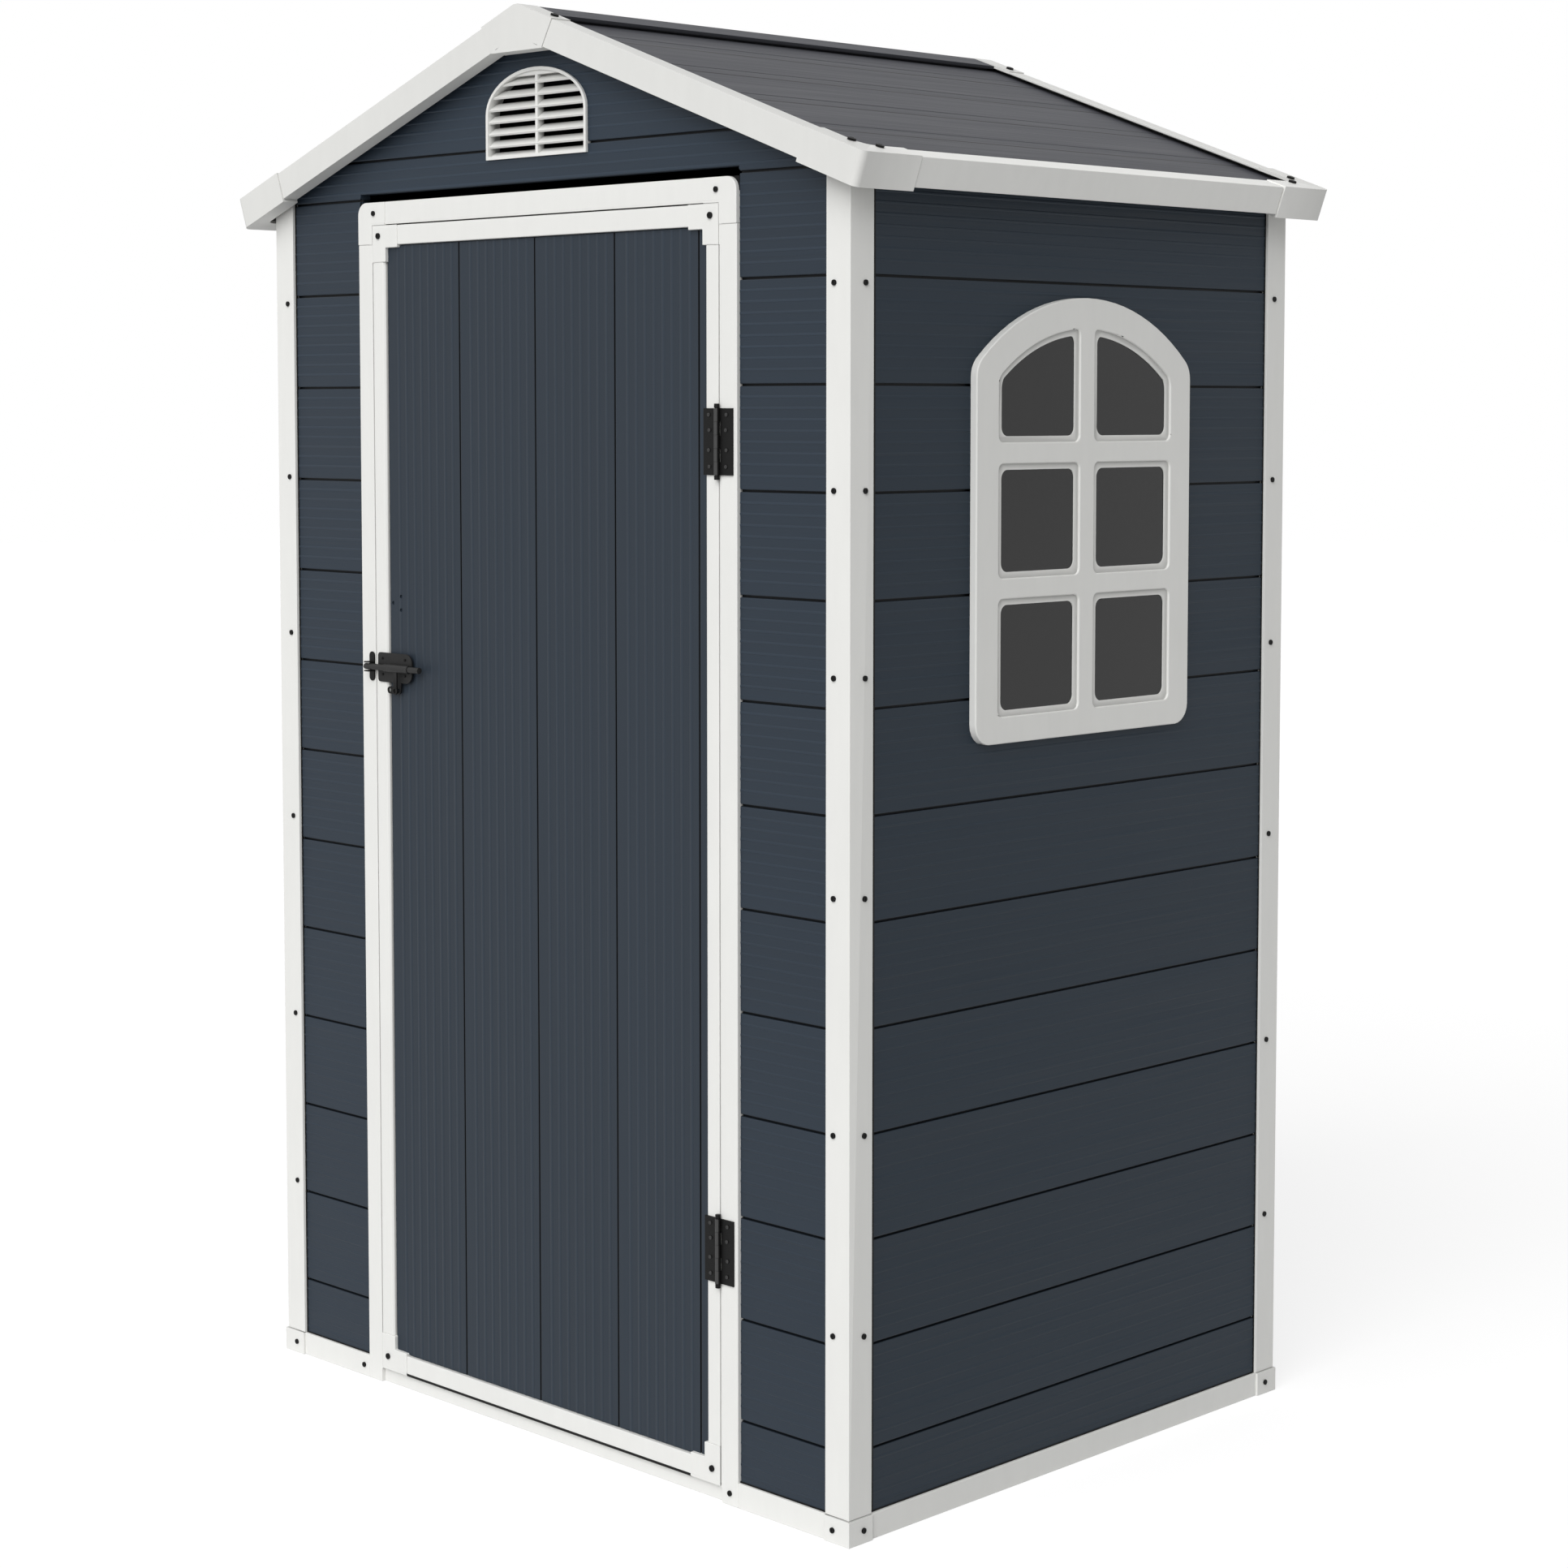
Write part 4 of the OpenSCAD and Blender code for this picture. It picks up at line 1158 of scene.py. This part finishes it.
def hardware(node, body, highlit_to=0.0, lightened=0.0, handled=0.0, handled_from=0.0):
    """Coated metal, painted pale as a painted highlight where it stands out furthest, and a little
    paler where it is handled, as wear.
    """
    piece = cad_copy(node, node + "_coated")
    round_edges(piece, 0.5 * MM, 2)
    even_shading(piece)
    if highlit_to:
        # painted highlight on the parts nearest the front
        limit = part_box(node)[0].y + highlit_to
        paint(
            piece,
            "highlight_and_wear",
            lambda p: (lightened if p.y < limit else handled) if p.z > handled_from else 0.0,
        )
    return dress(piece, body, BLACK, "black_metal", node)


# the hinges' knuckles and other front-most parts get a painted highlight
for node, body in (("hinge_frame_leaves", "shell"), ("hinge_door_leaves", "door")):
    hardware(node, body, highlit_to=1.5 * MM, lightened=2.4)
hardware("hinge_pins", "shell")
hardware("latch_keeper", "shell")
# the latch's front-most parts get a painted highlight, its handled top a paler wear
eye_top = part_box("latch_plate")[0].z + 14 * MM
for node, body in (("latch_plate", "door"), ("latch_bolt", "bolt")):
    hardware(node, body, highlit_to=2.5 * MM, lightened=1.1, handled=0.6, handled_from=eye_top)


def screw():
    """A pan-head screw with a cross recess, its head at the origin and facing -Y."""
    height, radius = 1.8 * MM, 3.8 * MM
    head = disc_piece("screw", (0, -height / 2, 0), radius, height, FRONT, 20)
    open_edit(head)
    mark(head, "FACE", lambda f: f.normal.y < -0.99)
    bpy.ops.mesh.inset(thickness=1.2 * MM)
    bpy.ops.transform.translate(value=(0, -0.3 * MM, 0))
    bpy.ops.mesh.inset(thickness=0.5 * MM)
    close_edit()
    half_long, half_wide, floor, past = 2.1 * MM, 0.4 * MM, 1.3 * MM, 4 * MM
    for x, z in ((half_long, half_wide), (half_wide, half_long)):
        cut(head, box_piece("slot", (-x, -past, -z), (x, -floor, z)))
    pick(head)
    bpy.ops.object.shade_smooth_by_angle(angle=math.radians(35))
    return head


SCREW = screw()


def set_screw(point, outward, size=1.0, lightened=0.0):
    """A copy of the screw, set on a face that looks outward and a little clear of it."""
    # the head is painted paler by the amount given
    head = paint(copy_of(SCREW, "screw"), "highlight_and_wear", lambda p: lightened)
    side = Vector(outward).cross(UP)
    side = side.normalized() if side.length > 0.01 else RIGHT
    inward = -Vector(outward)
    seat = Vector(point) + Vector(outward) * 0.2 * MM
    matrix = frame_of(side, inward, side.cross(inward), seat)
    return place(head, matrix @ Matrix.Scale(size, 4))


def shell_screws():
    """Screws of the feet, the posts, the jambs and the door frame's corners."""
    screws = []
    post_x, foot_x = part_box("post_front_right")[1].x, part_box("corner_feet")[1].x
    post_y, foot_y = -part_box("post_front_right")[0].y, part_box("corner_feet")[1].y
    jamb_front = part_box("jamb_right")[0].y
    corner_front, frame_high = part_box("frame_corners")[0].y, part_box("frame_corners")[1]
    foot_z, jamb_z = 17.5 * MM, 17 * MM
    jamb_x = {1: 382 * MM, -1: -408.7 * MM}
    heights = (270, 530, 834, 1114, 1350, 1610)
    for side in (-1, 1):
        for end in (-1, 1):
            endways, sideways = (0, end, 0), (side, 0, 0)
            screws.append(set_screw((side * 574 * MM, end * foot_y, foot_z), endways))
            screws.append(set_screw((side * foot_x, end * 431 * MM, foot_z), sideways))
            for height in heights:
                z = height * MM
                screws.append(set_screw((side * 572 * MM, end * post_y, z), endways))
                screws.append(set_screw((side * post_x, end * 428.5 * MM, z), sideways))
        screws.append(set_screw((jamb_x[side], jamb_front, jamb_z), FRONT))
        corner_x = side * (frame_high.x - 37 * MM)
        screws.append(set_screw((corner_x, corner_front, frame_high.z - 16 * MM), FRONT))
    return screws


def roof_screws():
    """Screws in the top flanges of the roof's corner caps and ridge end pieces."""
    screws = []
    end_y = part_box("ridge_end_caps")[1].y
    for side in (-1, 1):
        down, out, ridge = slope_ways(side)
        for end in (-1, 1):
            for run, in_from_end in ((643, 29), (667, 56), (63, 18)):
                point = ridge + down * run * MM + out * 1.5 * MM
                point.y = end * (end_y - in_from_end * MM)
                screws.append(set_screw(point, out, 1.5))
    return screws


def hinge_screws(node, side):
    """Four screws in each plate of the two hinges, a little staggered."""
    low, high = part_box(node)
    outer = low.x if side < 0 else high.x
    hinge_height = 87 * MM
    screws = []
    for top in (high.z, low.z + hinge_height):
        for k, drop in enumerate((8.5, 28.5, 54.5, 76)):
            x = outer - side * (10.5 + (k % 2)) * MM
            screws.append(set_screw((x, low.y + 5.8 * MM, top - drop * MM), FRONT, 0.62, 2.2))
    return screws


def door_screws():
    """Screws in the leaf's corner pieces and in the latch plate."""
    low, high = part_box("door_corners")
    screws = []
    for side in (-1, 1):
        for z in (high.z - 13 * MM, low.z + 18 * MM):
            screws.append(set_screw((side * (high.x - 12.5 * MM), low.y, z), FRONT, 1.15))
    plate_low, plate_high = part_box("latch_plate")
    for x in (plate_low.x + 11 * MM, plate_low.x + 63.5 * MM):
        for z in (plate_high.z - 8.5 * MM, plate_high.z - 32 * MM):
            screws.append(set_screw((x, plate_high.y - 2 * MM, z), FRONT, 0.5))
    return screws


shell_set = shell_screws() + roof_screws() + hinge_screws("hinge_frame_leaves", 1)
door_set = door_screws() + hinge_screws("hinge_door_leaves", -1)
dress(join("shell_screws", shell_set), "shell", BLACK, "black_metal")
dress(join("door_screws", door_set), "door", BLACK, "black_metal")
bpy.data.objects.remove(SCREW)


# ---------- floor panel ----------

floor_piece = cad_copy("floor_panel", "floor_panel_moulded")
round_edges(floor_piece, 1.5 * MM)
even_shading(floor_piece)
dress(floor_piece, "shell", FLOOR_GREY, "floor_plastic", "floor_panel")


# ---------- studio ----------

# Grey of the floor where it is seen, the glow added there, and its grey for the light it returns
FLOOR_SEEN, FLOOR_GLOW, FLOOR_RETURN = 0.35, 0.76, 0.67
# Strength of the backdrop as a light and where it is seen
SKY_LIGHT, SKY_SEEN = 0.23, 1
KEY_STRENGTH, KEY_SPREAD = 2.8, math.radians(60)


def studio():
    """A plain white floor and backdrop under soft light."""
    bpy.ops.mesh.primitive_circle_add(vertices=96, radius=30, fill_type="NGON")
    ground = bpy.context.object
    ground.name = "studio_floor"
    f = Finish("studio_floor_paint")
    tree, path = f.tree, f.add("ShaderNodeLightPath").outputs
    tree.nodes.remove(f.shader)
    seen = f.sums("MAXIMUM", path["Is Camera Ray"], path["Is Glossy Ray"])
    seen = f.sums("MAXIMUM", seen, path["Is Transmission Ray"])
    speck = f.between(f.noise(f.place, 3.0), 0.3, 0.7, 0.985, 1.0)
    seen_grey, returned_grey = (FLOOR_SEEN,) * 3 + (1,), (FLOOR_RETURN,) * 3 + (1,)
    matt = f.add("ShaderNodeBsdfDiffuse", {"Color": f.shade(seen_grey, speck)})
    glow = f.add("ShaderNodeEmission", {"Color": (1, 1, 1, 1), "Strength": FLOOR_GLOW})
    shown = f.add("ShaderNodeAddShader", {0: matt.outputs[0], 1: glow.outputs[0]})
    plain = f.add("ShaderNodeBsdfDiffuse", {"Color": returned_grey})
    mix = f.add("ShaderNodeMixShader", {0: seen, 1: plain.outputs[0], 2: shown.outputs[0]})
    tree.links.new(mix.outputs[0], tree.nodes["Material Output"].inputs["Surface"])
    ground.data.materials.append(f.material)

    world = bpy.data.worlds.new("studio_world")
    bpy.context.scene.world = world
    world.use_nodes = True
    nodes, links = world.node_tree.nodes, world.node_tree.links
    sky = nodes["Background"]
    sky.inputs["Color"].default_value = (1, 1, 1, 1)
    path = nodes.new("ShaderNodeLightPath").outputs
    seen = path["Is Camera Ray"]
    for ray in ("Is Glossy Ray", "Is Transmission Ray"):
        either = nodes.new("ShaderNodeMath")
        either.operation = "MAXIMUM"
        links.new(seen, either.inputs[0])
        links.new(path[ray], either.inputs[1])
        seen = either.outputs[0]
    level = nodes.new("ShaderNodeMapRange")
    level.inputs["To Min"].default_value = SKY_LIGHT
    level.inputs["To Max"].default_value = SKY_SEEN
    links.new(seen, level.inputs["Value"])
    links.new(level.outputs[0], sky.inputs["Strength"])

    bpy.ops.object.light_add(type="SUN", location=(2, -5, 6))
    key = bpy.context.object
    key.name = "soft_key"
    key.data.energy = KEY_STRENGTH
    key.data.angle = KEY_SPREAD
    key.rotation_euler = Vector((-0.36, 1, -0.8)).to_track_quat("-Z", "Y").to_euler()


studio()

bpy.context.scene.view_settings.view_transform = "Standard"
